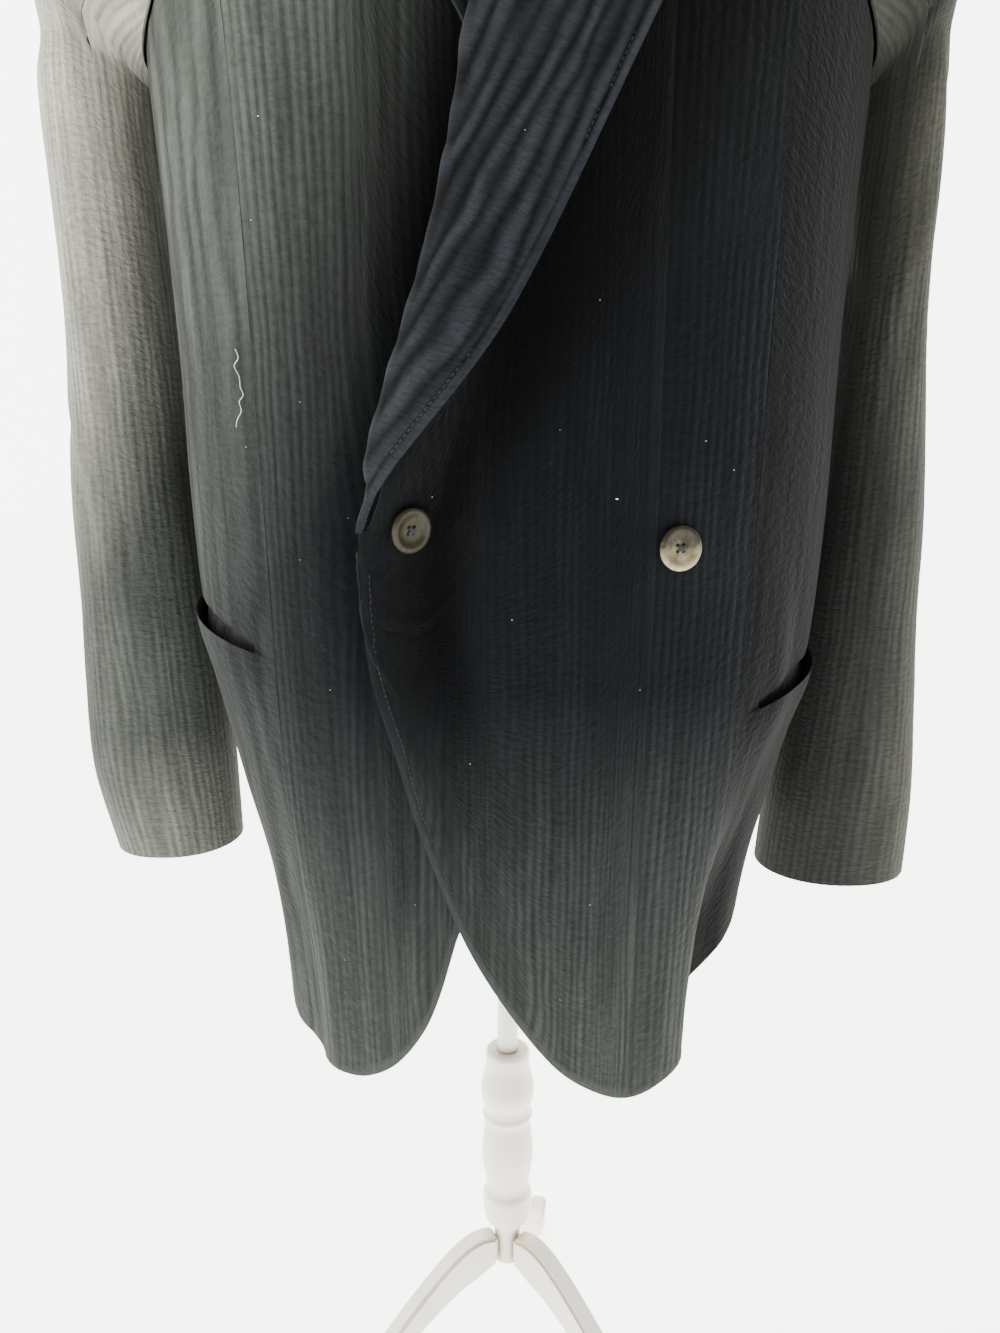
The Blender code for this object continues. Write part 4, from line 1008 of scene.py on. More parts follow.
stitch_lines = {}
for sign, name, point, hem, roll, bends in (
    (1, "left", top_front_point, TOP_HEM, lambda z: along(ROLL, z, 1), TOP_CREASES),
    (-1, "right", under_front_point, UNDER_HEM, lambda z: -under_roll(z), UNDER_CREASES),
):
    grid, near, low = front_grid(point, hem, roll, sign, 176 if sign > 0 else 184, 204)
    uv = thread_lines(grid, 90)
    slope = np.gradient(low[:, 0], near[:, 0])[:, None]
    from_hem = (grid[..., 2] - low) / np.sqrt(1 + slope**2)
    in_from_edge = np.minimum(np.where(grid[..., 2] < 0.80, from_hem, 1.0), uv[..., 0] + 0.0001)
    grid = pressed(grid, uv, bends, sign < 0)
    folded_edge = 0.0007 * (1 - smooth(0.0045, 0.0075, in_from_edge)) - stitch_groove(in_from_edge)
    rib_height = ribs(uv, 0.00066, 71 + sign)
    relief = rib_height * (0.45 + 0.55 * smooth(0.002, 0.009, in_from_edge)) + folded_edge
    x, z = grid[..., 0], grid[..., 2]
    # Painted shadow: on the top front, shade is painted into the trough beside its edge and under its lapel. On
    # the under front, shade is painted along the top front's roll line, where the lapel shadows it.
    if sign > 0:
        gap = x - top_edge(z)
        reach = np.where(z > WAIST, along(ROLL, z, 2) - along(ROLL, z, 1), 0.0)
        middle = 0.030 + 0.9 * reach
        trough = np.exp(-(((gap - middle) / (0.024 + 0.40 * reach)) ** 2)) * smooth(0.640, 0.745, z)
        hollow = np.maximum(trough, 0.80 * (gap < middle) * smooth(WAIST, 0.84, z))
    else:
        hollow = 0.90 * np.exp(-(((x - along(ROLL, z, 1)) / 0.062) ** 2)) * smooth(0.80, 0.95, z)
    piece, node = "front_gauze_" + name, "front_" + name
    cloth_piece(piece, node, grid, uv, relief, body_gauze, ["form_torso"], flip=sign < 0, hollow=hollow)
    stitch_lines[piece] = (grid[:, 0], grid[:, 6])

# The sleeves: two pieces each, an upper and an under one, eased into the armhole and hanging straight down.
# They are painted the palest, as painted light, most of all the sleeve towards the window, and the cuffs are
# turned up plainly with no buttons.
# height, inner x, outer x, half depth, middle y
SLEEVE_LEFT = (
    (0.521, 0.194, 0.3020, 0.048, 0.022),
    (0.560, 0.197, 0.3035, 0.051, 0.022),
    (0.620, 0.204, 0.3000, 0.056, 0.022),
    (0.720, 0.214, 0.2910, 0.063, 0.021),
    (0.850, 0.2215, 0.2820, 0.070, 0.018),
    (0.960, 0.2260, 0.2690, 0.075, 0.014),
    (1.050, 0.2310, 0.2670, 0.078, 0.010),
)
SLEEVE_RIGHT = (
    (0.542, 0.207, 0.2960, 0.046, 0.022),
    (0.575, 0.208, 0.3060, 0.050, 0.022),
    (0.640, 0.210, 0.3090, 0.056, 0.022),
    (0.730, 0.215, 0.3045, 0.063, 0.021),
    (0.850, 0.2215, 0.2990, 0.070, 0.018),
    (0.960, 0.2260, 0.2920, 0.075, 0.014),
    (1.050, 0.2310, 0.2900, 0.078, 0.010),
)
# turn of the sleeve head's ring in degrees, height of the ring, half depth
SLEEVE_HEAD = (
    (9, 0.1380, 0.093),
    (20, 0.1180, 0.095),
    (33, 0.0940, 0.092),
    (50, 0.0700, 0.087),
    (70, 0.0560, 0.081),
)
SLEEVE_HEAD_WIDTH = 0.056
SLEEVE_SEAM_FRONT = 118
SLEEVE_SEAM_BACK = -112
SLEEVE_GAP = 0.02
SLEEVE_ROWS = 8


def armhole(turn, sign):
    """The armhole's edge: 0 at the shoulder, 90 at the front, 180 at the armpit and 270 at the back."""
    radians = np.radians(turn)
    z = (SHOULDER_Z + ARMPIT_Z) / 2 + (SHOULDER_Z - ARMPIT_Z) / 2 * np.cos(radians)
    ahead = np.sin(radians) >= 0
    front_part = body_point(along(SEAMS, NOTCH_Z, 1) + 0 * z, z, False)
    back_x = along(SEAMS, z, 2) + (SHOULDER_X - along(SEAMS, NOTCH_Z, 2)) * smooth(NOTCH_Z, SHOULDER_Z, z)
    back_part = back_point(back_x, -1, z)
    share = (1 - (np.clip(z - ARMPIT_Z, 0, 1) / (NOTCH_Z - ARMPIT_Z)).clip(0, 1) ** (1 / 2.2)) / 2
    low_part = side_point(np.where(ahead, share, 1 - share), z, 1)
    upper_part = np.where(ahead[..., None], front_part, back_part)
    edge = np.where((z >= NOTCH_Z)[..., None], upper_part, low_part)
    return edge * (sign, 1, 1)


def sleeve_rings(rows, turn, sign):
    """A sleeve's rings from the armhole, turning level at the armpit, and down to the cuff."""
    radians = np.radians(turn)
    share = (1 + np.cos(radians)) / 2
    pivot_x, middle_y = rows[-1][1], rows[-1][4]
    edge = armhole(turn % 360, sign)
    rings = [edge + np.stack([sign * (0.0031 + 0.0003 * (1 - share)), 0 * share, 0 * share], axis=-1)]
    for step, (tilt, height, depth) in enumerate(SLEEVE_HEAD, 1):
        tilt = math.radians(tilt)
        x = pivot_x + math.sin(tilt) * height * share * (rows[-1][2] - pivot_x) / SLEEVE_HEAD_WIDTH
        z = ARMPIT_Z - 0.004 + math.cos(tilt) * height * share
        ring = np.stack([sign * x, middle_y - depth * np.sin(radians), z], axis=-1)
        near = 0.55 if step == 1 else 0.2 if step == 2 else 0
        rings.append(ring + (edge + (sign * (0.004 + 0.003 * step), 0, 0) - ring) * near)
    for down in np.linspace(0, 1, SLEEVE_ROWS + 1):
        z = rows[-1][0] + (rows[0][0] - rows[-1][0]) * down
        inner, outer, depth, middle = (along(rows, z, k) for k in (1, 2, 3, 4))
        c = np.copysign(np.abs(np.cos(radians)) ** 0.9, np.cos(radians))
        x = (inner + outer) / 2 + (outer - inner) / 2 * c
        wrinkle = 0.0022 * np.sin(38 * down + 3 * np.sin(radians)) * (1 - smooth(0.3, 0.8, down)) * share
        rings.append(np.stack([sign * (x + wrinkle), middle - depth * np.sin(radians), z + 0 * x], axis=-1))
    return np.stack(rings, axis=1)


def refine(grid, rows):
    """More rows through a grid's own rows, evenly along the cloth, on smooth curves."""
    steps = np.linalg.norm(np.diff(grid, axis=1), axis=2).mean(0)
    at = np.concatenate([[0], np.cumsum(steps)])
    want = np.linspace(0, at[-1], rows + 1)
    return np.ascontiguousarray(np.moveaxis(curve_through(at, np.moveaxis(grid, 1, -1), want), -1, 1))


# across, up, half length, half width, turn from upright in degrees, depth
SLEEVE_CREASES = {
    (1, True): ((0.15, 0.52, 0.060, 0.012, 40, -0.0024), (0.20, 0.40, 0.080, 0.014, -20, 0.0024)),
    (1, False): ((0.06, 0.46, 0.060, 0.012, 20, -0.0020),),
    (-1, True): (
        (0.16, 0.27, 0.055, 0.008, -24, -0.0030),
        (0.19, 0.20, 0.050, 0.010, -12, 0.0022),
        (0.11, 0.50, 0.060, 0.012, -36, -0.0022),
    ),
    (-1, False): ((0.06, 0.44, 0.060, 0.012, -20, -0.0020),),
}
# Painted light: the sleeve on the wearer's right, towards the window, takes a lit copy of the gauze. It is
# palest on its outer upper side and a little paler towards the cuff. The sleeve on the wearer's left takes a
# darker copy, a little paler on its outer side and upper arm. Both are painted darker at the top of the
# shoulder, and both have weaker painted shade on their ribs.
sleeve_gauzes = {
    1: gauze_finish(
        "sleeve_gauze_left",
        (0.016, 0.017, 0.016, 1),
        (0.068, 0.068, 0.054, 1),
        (((1, 0, 0), 0.245, 0.300, 0.50), ((0, 0, 1), 0.80, 1.03, 0.42), ((0, 0, 1), 1.03, 1.12, -0.45)),
        0.48,
    ),
    -1: gauze_finish(
        "sleeve_gauze_right_lit",
        (0.040, 0.045, 0.040, 1),
        (0.40, 0.39, 0.335, 1),
        (((-0.85, 0, 0.5), 0.60, 0.81, 1.0), ((0, 0, 1), 0.64, 0.52, 0.16), ((0, 0, 1), 1.05, 1.15, -0.5)),
        0.48,
    ),
}
for sign, name, rows in ((1, "left", SLEEVE_LEFT), (-1, "right", SLEEVE_RIGHT)):
    for upper in (True, False):
        if upper:
            turn = np.linspace(SLEEVE_SEAM_BACK + SLEEVE_GAP, SLEEVE_SEAM_FRONT - SLEEVE_GAP, 141)
        else:
            turn = np.linspace(SLEEVE_SEAM_FRONT + SLEEVE_GAP, 360 + SLEEVE_SEAM_BACK - SLEEVE_GAP, 81)
        grid = refine(sleeve_rings(rows, turn, sign)[:, ::-1], 160 if upper else 132)
        uv = thread_lines(grid, 30)
        grid = pressed(grid, uv, SLEEVE_CREASES[sign, upper], sign > 0)
        relief = ribs(uv, 0.00045, 91 + 2 * sign + upper)
        part = "sleeve_upper_" if upper else "sleeve_under_"
        gauze = sleeve_gauzes[sign]
        cloth_piece(part + "gauze_" + name, part + name, grid, uv, relief, gauze, ["back_gauze"], flip=sign > 0)

# The lapels: each is the front's cloth turned back along the roll line, its bold ribs following the outer edge.
# The top one springs off the front and hovers over the trough; the under one shows only as a small corner.
GORGE_IN, GORGE_OUT = 1.168, 1.122
LAPEL_END_Z = 0.789
LAPEL_FREE_Z = 0.818
LAPEL_TURN_SHARE = 0.16
LAPEL_RIB_PITCH = 0.0094


def lapel_grid(mirror, columns, rows):
    """A lapel from its rolled fold to its outer edge, and the distance of each point from that edge."""
    side = -1 if mirror else 1
    point = (lambda x, z: under_front_point(-x, z)) if mirror else (lambda x, z: top_front_point(x, z, True))
    t = np.linspace(0, 1, rows + 1)[None, :]
    place_in = np.linspace(-LAPEL_TURN_SHARE, 1, columns + 1)[:, None]
    share = np.maximum(place_in, 0)
    top = GORGE_IN + (GORGE_OUT - GORGE_IN) * share
    z = LAPEL_END_Z + (top - LAPEL_END_Z) * t
    roll = -under_roll(z) if mirror else along(ROLL, z, 1)
    shift = mirror_shift(z) if mirror else 0
    outer = np.maximum(along(ROLL, z, 2) - shift, roll + 0.002)
    width = outer - roll
    round_by = np.minimum(LAPEL_ROUND, 0.4 * width)
    bend = math.pi * (1 + np.minimum(place_in, 0) / LAPEL_TURN_SHARE)
    turning = place_in < 0
    x = np.where(turning, roll - round_by * np.sin(bend), roll + width * share)
    soft = (0.45 if mirror else 1.0) * smooth(0.0, 0.03, width)
    lift_over = 2 * round_by + CLOTH + soft * (0.009 * np.sin(math.pi * 0.62 * share) + 0.003 * share)
    lift = np.where(turning, CLOTH * bend / math.pi + round_by * (1 - np.cos(bend)), lift_over)
    sunk = 1 - smooth(LAPEL_END_Z, LAPEL_FREE_Z, z)
    lift = lift * (1 - sunk) - 0.0006 * sunk
    base = point(x, z)
    ahead = point(x + 0.004, z) - point(x - 0.004, z)
    outward = np.stack([ahead[..., 1], -ahead[..., 0], 0 * z], axis=-1)
    outward *= side / np.linalg.norm(outward, axis=-1, keepdims=True)
    return base + outward * lift[..., None], width * (1 - share)


# Painted light: the lapels and the collar take a lighter copy of the body's gauze, painted as the lit lapel
# standing off the front. It is paler still towards the neck and has stronger painted shade on its ribs.
lapel_gauze = gauze_finish(
    "lapel_gauze",
    (0.0086, 0.0102, 0.0126, 1),
    (0.050, 0.057, 0.056, 1),
    (((0, 0, 1), 1.05, 1.30, 0.5),),
    1.15,
)
for mirror, name in ((False, "left"), (True, "right")):
    grid, from_edge = lapel_grid(mirror, 80, 148)
    uv = thread_lines(grid, 120)
    uv[..., 0] = from_edge
    relief = ribs(uv, 0.0013, 131 + mirror, LAPEL_RIB_PITCH) * smooth(0.0, 0.004, from_edge)
    relief = relief + 0.0006 * (1 - smooth(0.004, 0.006, from_edge)) - stitch_groove(from_edge)
    piece, node, front = "lapel_gauze_" + name, "lapel_" + name, "front_gauze_" + name
    cloth_piece(piece, node, grid, uv, relief, lapel_gauze, [front], "folded", flip=mirror)
    stitch_lines[piece] = (grid[-1, 16:], grid[-12, 16:])

# The collar: a folded band, its stand sewn to the neck edge, its fall lying over the shoulders to the notch.
# It is interlined, so its ribs are pressed flatter than the body's, and its edge is topstitched.
COLLAR_BACK = 0.5
COLLAR_LIFT = 0.0056
COLLAR_STAND = 0.026
NECK_DIP = 33
COLLAR_EDGE_X = 0.128
COLLAR_EDGE_DIP = 52
COLLAR_END_Z = 1.174
COLLAR_TIP_X = 0.102
COLLAR_TIP_Z = 1.153
COLLAR_MIDDLE_X = 0.072
COLLAR_MIDDLE_Z = 1.153


def top_point(x, turn, lift):
    """A point over the shoulders: turned from the chest in front, 0, towards the back, 180, and lifted."""

    def bare(x, turn):
        z = CHEST + (shoulder_height(x) - CHEST) * math.sin(math.radians(turn)) ** (1 / SHOULDER_POWER)
        depth = abs(body_point(np.array([float(x)]), np.array([CHEST]), turn > 90)[0, 1])
        return np.array((x, -depth * math.cos(math.radians(turn)), z))

    normal = np.cross(bare(x + 0.002, turn) - bare(x - 0.002, turn), bare(x, turn + 1) - bare(x, turn - 1))
    return bare(x, turn) + normal / np.linalg.norm(normal) * lift


def turn_at(x, z):
    """How far round the shoulder a place lies, in degrees from the chest."""
    return math.degrees(over_shoulder(x, z))


def collar_guides(s):
    """The collar's neck seam, roll, middle of its fall and outer edge, from right end, -1, to left end, 1."""
    reach, sign = abs(s), math.copysign(1, s)
    round_back = math.pi / 2 * min(reach / COLLAR_BACK, 1.0)
    ahead = float(smooth(COLLAR_BACK, 1.0, reach))
    outward = np.array((math.sin(round_back), math.cos(round_back), 0))
    up = np.array((0, 0, 1.0))
    if reach < COLLAR_BACK:
        x = NECK_SIDE_X * math.sin(round_back)
        seam = top_point(x, 90 + NECK_DIP * math.cos(round_back), COLLAR_LIFT)
        roll = seam + up * COLLAR_STAND + outward * 0.004
    else:
        z = NECK_SIDE_Z - 0.0005 - (NECK_SIDE_Z - COLLAR_END_Z) * ahead
        x = float(along(ROLL, z, 1))
        seam = top_point(x + 0.003, turn_at(x + 0.003, z), COLLAR_LIFT)
        roll = top_point(x, turn_at(x, z), COLLAR_LIFT + 0.009 * ahead)
        roll = roll + up * (COLLAR_STAND * (1 - ahead) + 0.001) + outward * 0.004 * (1 - ahead)
    edge_x = COLLAR_EDGE_X * math.sin(round_back) - (COLLAR_EDGE_X - COLLAR_TIP_X) * ahead
    edge_turn = 90 + COLLAR_EDGE_DIP * math.cos(round_back) - (90 - turn_at(COLLAR_TIP_X, COLLAR_TIP_Z)) * ahead
    edge = top_point(edge_x, edge_turn, 0.0080 + 0.0070 * ahead)
    middle = (roll + edge) / 2 + (outward * 0.012 + up * 0.010) * (1 - ahead)
    low = top_point(COLLAR_MIDDLE_X, turn_at(COLLAR_MIDDLE_X, COLLAR_MIDDLE_Z), 0.0165)
    middle = middle + (low - middle) * ahead**2
    return [point * (sign, 1, 1) for point in (seam, roll, middle, edge)]


collar_columns = []
for s in np.linspace(1, -1, 201):
    seam, roll, middle, edge = collar_guides(s)
    stand = [seam + (roll - seam) * t for t in np.linspace(0, 1, 13)[:-1]]
    fall = [roll * (1 - t) ** 2 + middle * 2 * t * (1 - t) + edge * t**2 for t in np.linspace(0, 1, 37) ** 1.4]
    collar_columns.append(stand + fall)
collar_grid = np.array(collar_columns)
collar_uv = thread_lines(collar_grid, 30)
from_edge = collar_uv[..., 1].max() - collar_uv[..., 1]
relief = ribs(collar_uv, 0.0004, 151) * smooth(0.001, 0.006, from_edge)
relief = relief - stitch_groove(from_edge)
# The collar takes the lapels' lighter gauze, with its painted light.
cloth_piece(
    "collar_gauze", "collar", collar_grid, collar_uv, relief, lapel_gauze, ["back_gauze"], "folded", flip=True
)
stitch_lines["collar_gauze"] = (collar_grid[:, -1], collar_grid[:, -8])

# The buttons: two of polished horn with four holes, a raised rim and a dished middle, sewn with a dark cross.
# The fastened one sits on a thread shank on the flank of the trough; the outer one is sewn flat, for show.
BUTTON_DIAMETER = 0.025
BUTTON_THICK = 0.0042
BUTTON_HOLE = 0.0021
BUTTON_HOLE_RING = 0.0024
BUTTON_TURN = math.radians(45)
BUTTON_THREAD_RADIUS = 0.00036
BUTTON_THREAD_ASIDE = 0.000364
SHANK_THREADS = 5
SHANK_RADIUS = 0.0011
RIB_HEIGHT = 0.0006


def button_frame(x, z, shank):
    """A button's place and turn: flat on the top front's cloth, with its holes in a square."""

    def at(x, z):
        return Vector(top_front_point(np.array([x]), np.array([z]))[0])

    reach = BUTTON_DIAMETER / 3
    across = at(x + reach, z) - at(x - reach, z)
    up = at(x, z + reach) - at(x, z - reach)
    outward = across.cross(up).normalized()
    across.normalize()
    turned_frame = Matrix((across, outward.cross(across), outward)).transposed().to_4x4()
    place = Vector(AXIS) + at(x, z) + outward * (CLOTH / 2 + RIB_HEIGHT + shank)
    return Matrix.Translation(place) @ turned_frame @ Matrix.Rotation(BUTTON_TURN, 4, "Z")


# share of the radius, share of the thickness, from the middle over the rim and round to the underside
BUTTON_FACE = (
    (0.000, 0.500),
    (0.300, 0.502),
    (0.440, 0.530),
    (0.560, 0.620),
    (0.650, 0.780),
    (0.730, 0.930),
    (0.800, 0.990),
    (0.870, 0.985),
    (0.940, 0.900),
    (0.985, 0.740),
    (1.000, 0.580),
)
BUTTON_UNDER = (
    (0.985, 0.420),
    (0.940, 0.260),
    (0.850, 0.110),
    (0.700, 0.020),
    (0.550, 0.000),
    (0.000, 0.000),
)

horn, place = finish("horn", Specular_IOR_Level=0.10, Coat_Weight=0.04, Coat_Roughness=0.12)
disc = place.node("UVMap", {}, uv_map="disc")
grain = disc.node("Mapping", {"Vector": disc, "Scale": (140.0, 420.0, 1.0), "Rotation": (0, 0, 0.6)})
streak = grain.noise(1.0, 4.0, 0.6)
cloud = disc.noise(130.0, 2.0)
darker = place.part("X").between(0.03, -0.03)
tone = (disc.part("X") * 42.0 + 0.5) + (cloud - 0.5) * 0.9 + darker * 1.1
light_horn = streak.between(0.3, 0.7).blend((0.33, 0.29, 0.19, 1), (0.20, 0.165, 0.095, 1))
dark_horn = streak.between(0.35, 0.7).blend((0.030, 0.027, 0.016, 1), (0.012, 0.011, 0.007, 1))
connect(
    horn,
    Base_Color=tone.between(0.08, 0.66).blend(light_horn, dark_horn),
    Roughness=streak * 0.14 + 0.32,
    Normal=disc.bump(streak, 0.10, 0.0003),
)
sewing, place = finish("sewing_thread", Sheen_Weight=0.05, Sheen_Roughness=0.4)
ply = place.noise(2600.0, 2.0)
connect(
    sewing,
    Base_Color=ply.between(0.3, 0.7).blend((0.0040, 0.0046, 0.0058, 1), (0.011, 0.012, 0.014, 1)),
    Roughness=ply * 0.2 + 0.65,
    Normal=place.bump(ply, 0.4, 0.0002),
)


def evaluated_mesh(holder):
    """The mesh that an object's modifiers or its curve give, in place of the object."""
    made = bpy.data.meshes.new_from_object(holder.evaluated_get(bpy.context.evaluated_depsgraph_get()))
    bpy.data.objects.remove(holder)
    return made


def button_mesh(name, frame_of):
    """The turned disc, its four holes bored through with Booleans."""
    radius = BUTTON_DIAMETER / 2
    profile = [(r * radius, z * BUTTON_THICK) for r, z in (*BUTTON_FACE, *BUTTON_UNDER)]
    blank = bpy.data.objects.new(name + "_blank", turn_on_lathe(name, profile, 96, (0, 0), None))
    scene.collection.objects.link(blank)
    drills = []
    for k in range(4):
        turn = math.pi / 2 * k
        drill = bmesh.new()
        wide = BUTTON_HOLE / 2
        bmesh.ops.create_cone(
            drill, cap_ends=True, segments=28, radius1=wide, radius2=wide, depth=3 * BUTTON_THICK
        )
        spot = (BUTTON_HOLE_RING * math.cos(turn), BUTTON_HOLE_RING * math.sin(turn), 0)
        bmesh.ops.transform(drill, matrix=Matrix.Translation(spot), verts=drill.verts)
        drills.append(bpy.data.objects.new(name + "_drill", keep(drill, name + "_drill")))
        scene.collection.objects.link(drills[-1])
        cut = blank.modifiers.new("hole", "BOOLEAN")
        cut.operation = "DIFFERENCE"
        cut.solver = "EXACT"
        cut.object = drills[-1]
    bored = evaluated_mesh(blank)
    for spare in drills:
        bpy.data.objects.remove(spare)
    disc_layer = bored.uv_layers.new(name="disc")
    to_photo = Matrix.Rotation(-BUTTON_TURN, 2)
    for loop in bored.loops:
        point = bored.vertices[loop.vertex_index].co
        disc_layer.data[loop.index].uv = to_photo @ Vector((point.x, point.y))
    bored.transform(frame_of)
    bored.name = name
    bored.shade_smooth()
    bored.set_sharp_from_angle(angle=math.radians(35))
    return bored


def thread_mesh(name, paths, radius):
    """Round threads along paths, as one closed mesh."""
    curve = bpy.data.curves.new(name, "CURVE")
    curve.dimensions = "3D"
    curve.bevel_depth = radius
    curve.bevel_resolution = 3
    curve.use_fill_caps = True
    for path in paths:
        spline = curve.splines.new("POLY")
        spline.points.add(len(path) - 1)
        for point, co in zip(spline.points, path):
            point.co = (*co, 1)
    holder = bpy.data.objects.new(name, curve)
    scene.collection.objects.link(holder)
    made = evaluated_mesh(holder)
    made.shade_smooth()
    return made


for name, x, z, shank in (("fastened", -0.057, 0.791, 0.0030), ("outer", 0.091, 0.7795, 0.0001)):
    frame_of = button_frame(x, z, shank)
    data = button_mesh("button_horn_" + name, frame_of)
    add_piece("button_horn_" + name, data, horn, "horn", "button_" + name)
    paths = []
    floor_z = 0.50 * BUTTON_THICK
    for first in (0, 1):
        for aside in (-BUTTON_THREAD_ASIDE, BUTTON_THREAD_ASIDE):
            turn = Matrix.Rotation(math.pi / 2 * first, 3, "Z")
            path = []
            for t in np.linspace(-1, 1, 15):
                arched = 0.0004 * (1 - t * t) - 0.0022 * smooth(0.86, 1.0, abs(t))
                high = floor_z + 0.00055 + 0.00035 * first + float(arched)
                path.append(frame_of @ (turn @ Vector((BUTTON_HOLE_RING * t, aside, high))))
            paths.append(path)
    if shank > 0.001:
        for k in range(SHANK_THREADS):
            turn = 2 * math.pi * k / SHANK_THREADS
            foot = Vector((SHANK_RADIUS * math.cos(turn), SHANK_RADIUS * math.sin(turn), 0.0002))
            paths.append([frame_of @ foot, frame_of @ (foot * 0.8 + Vector((0, 0, -shank - 0.0002)))])
    stitches = thread_mesh("button_thread_" + name, paths, BUTTON_THREAD_RADIUS)
    add_piece("button_thread_" + name, stitches, sewing, "gauze")

# The topstitching: one row of dark thread a few millimetres in from hems, front edges, lapels and collar.
# Each stitch bites into the cloth at both ends, so it is a short rounded bar lying along the edge.


def cloth_surface(*names):
    """A tree of the outer cloth, to set small things down on."""
    points, faces = [], []
    for name in names:
        data = bpy.data.objects[name].data
        first = len(points)
        points += [vertex.co for vertex in data.vertices]
        faces += [[first + k for k in polygon.vertices] for polygon in data.polygons]
    return BVHTree.FromPolygons(points, faces)


def beside_edge(edge, towards, surface):
    """The stitching line beside an edge polyline, on the cloth, on the side that a second polyline gives."""
    edge, towards = np.asarray(edge) + AXIS, np.asarray(towards) + AXIS
    steps = np.concatenate([[0], np.cumsum(np.linalg.norm(np.diff(edge, axis=0), axis=1))])
    want = np.arange(0.004, steps[-1] - 0.004, 0.0018)
    place = np.stack([np.interp(want, steps, edge[:, k]) for k in range(3)], axis=1)
    inner = np.stack([np.interp(want, steps, towards[:, k]) for k in range(3)], axis=1)
    tangent = np.gradient(place, axis=0)
    tangent /= np.linalg.norm(tangent, axis=1, keepdims=True)
    inward = inner - place
    inward -= (inward * tangent).sum(1, keepdims=True) * tangent
    inward /= np.linalg.norm(inward, axis=1, keepdims=True)
    line = []
    for spot in place + inward * STITCH_INSET:
        found, normal, _, _ = surface.find_nearest(Vector(spot))
        line.append(found + normal * 0.00012)
    return line


def stitch_tree():
    """Geometry Nodes: stitches of a set length and thickness along polylines."""
    tree = bpy.data.node_groups.new("topstitch", "GeometryNodeTree")
    tree.interface.new_socket("Geometry", in_out="INPUT", socket_type="NodeSocketGeometry")
    for name, value in (("Stitch pitch", 0.0034), ("Stitch length", 0.0026), ("Thread radius", 0.00026)):
        tree.interface.new_socket(name, in_out="INPUT", socket_type="NodeSocketFloat").default_value = value
    tree.interface.new_socket("Thread", in_out="INPUT", socket_type="NodeSocketMaterial")
    tree.interface.new_socket("Geometry", in_out="OUTPUT", socket_type="NodeSocketGeometry")

    def node(kind, **settings):
        made = tree.nodes.new(kind)
        for name, value in settings.items():
            setattr(made, name, value)
        return made

    given, out = node("NodeGroupInput"), node("NodeGroupOutput")
    curve, points = node("GeometryNodeMeshToCurve"), node("GeometryNodeCurveToPoints", mode="LENGTH")
    bar = node("GeometryNodeMeshUVSphere")
    bar.inputs["Segments"].default_value = 6
    bar.inputs["Rings"].default_value = 4
    bar.inputs["Radius"].default_value = 1.0
    half = node("ShaderNodeMath", operation="MULTIPLY")
    half.inputs[1].default_value = 0.5
    size, shape = node("ShaderNodeCombineXYZ"), node("GeometryNodeTransform")
    turn, put = node("FunctionNodeAlignRotationToVector", axis="Z"), node("GeometryNodeInstanceOnPoints")
    real, paint = node("GeometryNodeRealizeInstances"), node("GeometryNodeSetMaterial")
    for source, output, target, socket in (
        (given, "Geometry", curve, "Mesh"),
        (curve, "Curve", points, "Curve"),
        (given, "Stitch pitch", points, "Length"),
        (given, "Stitch length", half, 0),
        (given, "Thread radius", size, "X"),
        (given, "Thread radius", size, "Y"),
        (half, 0, size, "Z"),
        (bar, "Mesh", shape, "Geometry"),
        (size, 0, shape, "Scale"),
        (points, "Tangent", turn, "Vector"),
        (points, "Points", put, "Points"),
        (shape, "Geometry", put, "Instance"),
        (turn, "Rotation", put, "Rotation"),
        (put, "Instances", real, "Geometry"),
        (real, "Geometry", paint, "Geometry"),
        (given, "Thread", paint, "Material"),
        (paint, "Geometry", out, "Geometry"),
    ):
        tree.links.new(source.outputs[output], target.inputs[socket])
    return tree


def grown(name, tree, mesh, **inputs):
    """The plain mesh that a tree grows on a mesh, its inputs set by their identifiers."""
    holder = bpy.data.objects.new(name, mesh)
    scene.collection.objects.link(holder)
    modifier = holder.modifiers.new("grow", "NODES")
    modifier.node_group = tree
    for item in tree.interface.items_tree:
        if item.in_out == "INPUT" and item.name in inputs:
            modifier[item.identifier] = inputs[item.name]
    made = evaluated_mesh(holder)
    made.shade_smooth()
    return made


topstitch = stitch_tree()
for name, (edge, towards) in stitch_lines.items():
    line = beside_edge(edge, towards, cloth_surface(name))
    guide = bpy.data.meshes.new(name + "_stitch_line")
    guide.from_pydata(line, [(k, k + 1) for k in range(len(line) - 1)], [])
    stitched = grown(name + "_stitches", topstitch, guide, Thread=sewing)
    add_piece(name + "_stitches", stitched, sewing, "gauze")

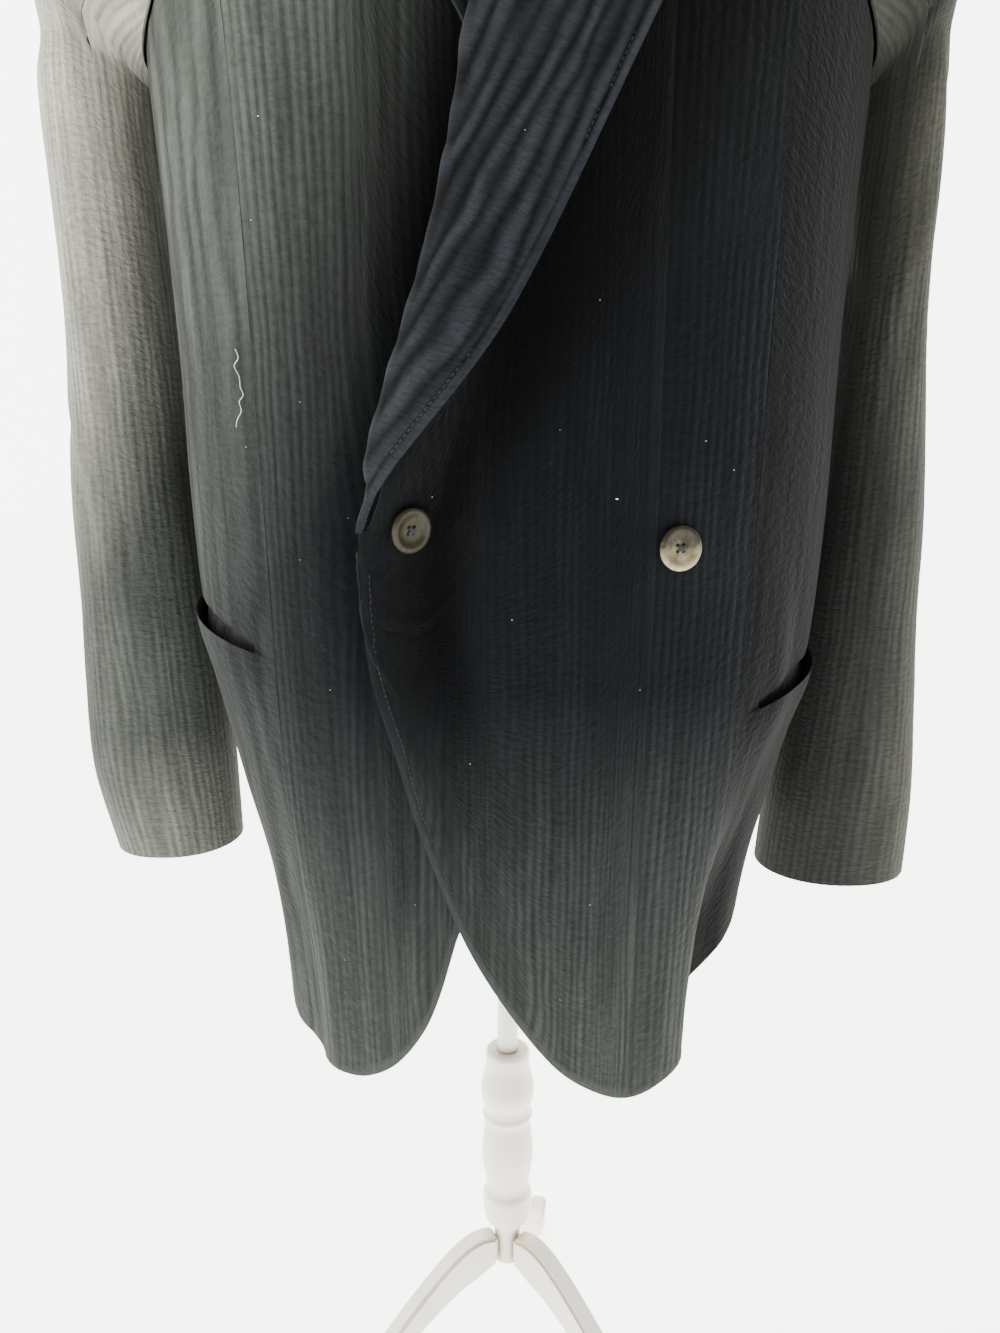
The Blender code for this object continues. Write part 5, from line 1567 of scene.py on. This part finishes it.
# The lint: one loose white thread below the wearer's right chest, and a few pale specks of fluff.
# They lie on the gauze by static alone.
PICTURE_MIDDLE = (500, 666.5)
PICTURE_FOCUS = 1003.5
lint, place = finish("lint", Sheen_Weight=0.4, Subsurface_Weight=0.1)
fuzz = place.noise(3000.0, 2.0)
lint_colour = fuzz.blend((0.70, 0.69, 0.64, 1), (0.82, 0.81, 0.77, 1))
connect(lint, Base_Color=lint_colour, Roughness=fuzz * 0.2 + 0.7)
front_surface = cloth_surface("front_gauze_right", "side_gauze_right", "front_gauze_left", "lapel_gauze_left")
look = Matrix.Rotation(CAMERA_TILT, 3, "X")


def seen_at(px, py):
    """The place on the cloth that lies behind a point of the picture, and the way the cloth faces there."""
    aside = (px - PICTURE_MIDDLE[0]) / PICTURE_FOCUS
    up = -(py - PICTURE_MIDDLE[1]) / PICTURE_FOCUS
    return front_surface.ray_cast(camera.location, look @ Vector((aside, up, -1.0)).normalized())[:2]


# across and down the picture, in its pixels
LINT_THREAD = (
    (236, 349),
    (239, 358),
    (235, 366),
    (240, 377),
    (241, 387),
    (244, 395),
    (240, 402),
    (242, 411),
    (238, 420),
    (237, 427),
)
lint_path = []
for px, py in LINT_THREAD:
    spot, normal = seen_at(px, py)
    lint_path.append(spot + normal * 0.0006)
order = np.arange(len(lint_path), dtype=float)
steps = np.linspace(0, order[-1], 60)
smooth_path = [Vector(spot) for spot in curve_through(order, np.array(lint_path).T, steps).T]
add_piece("lint_thread", thread_mesh("lint_thread", [smooth_path], 0.00016), lint, "gauze")

# across and down the picture, in its pixels, and radius in units of 0.7 mm
SPECKS = (
    *((251, 220, 0.5), (432, 497, 0.4), (617, 499, 0.8), (258, 116, 0.5), (706, 441, 0.5), (734, 470, 0.4)),
    *((246, 447, 0.4), (300, 402, 0.3), (348, 518, 0.3), (560, 430, 0.3), (512, 620, 0.4), (640, 690, 0.3)),
    *((470, 764, 0.4), (330, 690, 0.3), (300, 560, 0.3), (415, 905, 0.3), (590, 905, 0.4), (560, 1000, 0.3)),
    *((345, 960, 0.3), (525, 130, 0.3), (600, 300, 0.3)),
)
fluff = bmesh.new()
for px, py, size in SPECKS:
    spot, normal = seen_at(px, py)
    if spot is None:
        continue
    lay = normal.to_track_quat("Z", "Y").to_matrix().to_4x4()
    lay = Matrix.Translation(spot + normal * 0.0001) @ lay @ Matrix.Diagonal((1.6, 0.7, 0.35, 1))
    bmesh.ops.create_icosphere(fluff, subdivisions=1, radius=size * 0.0007, matrix=lay)
add_piece("lint_specks", keep(fluff, "lint_specks"), lint, "gauze")
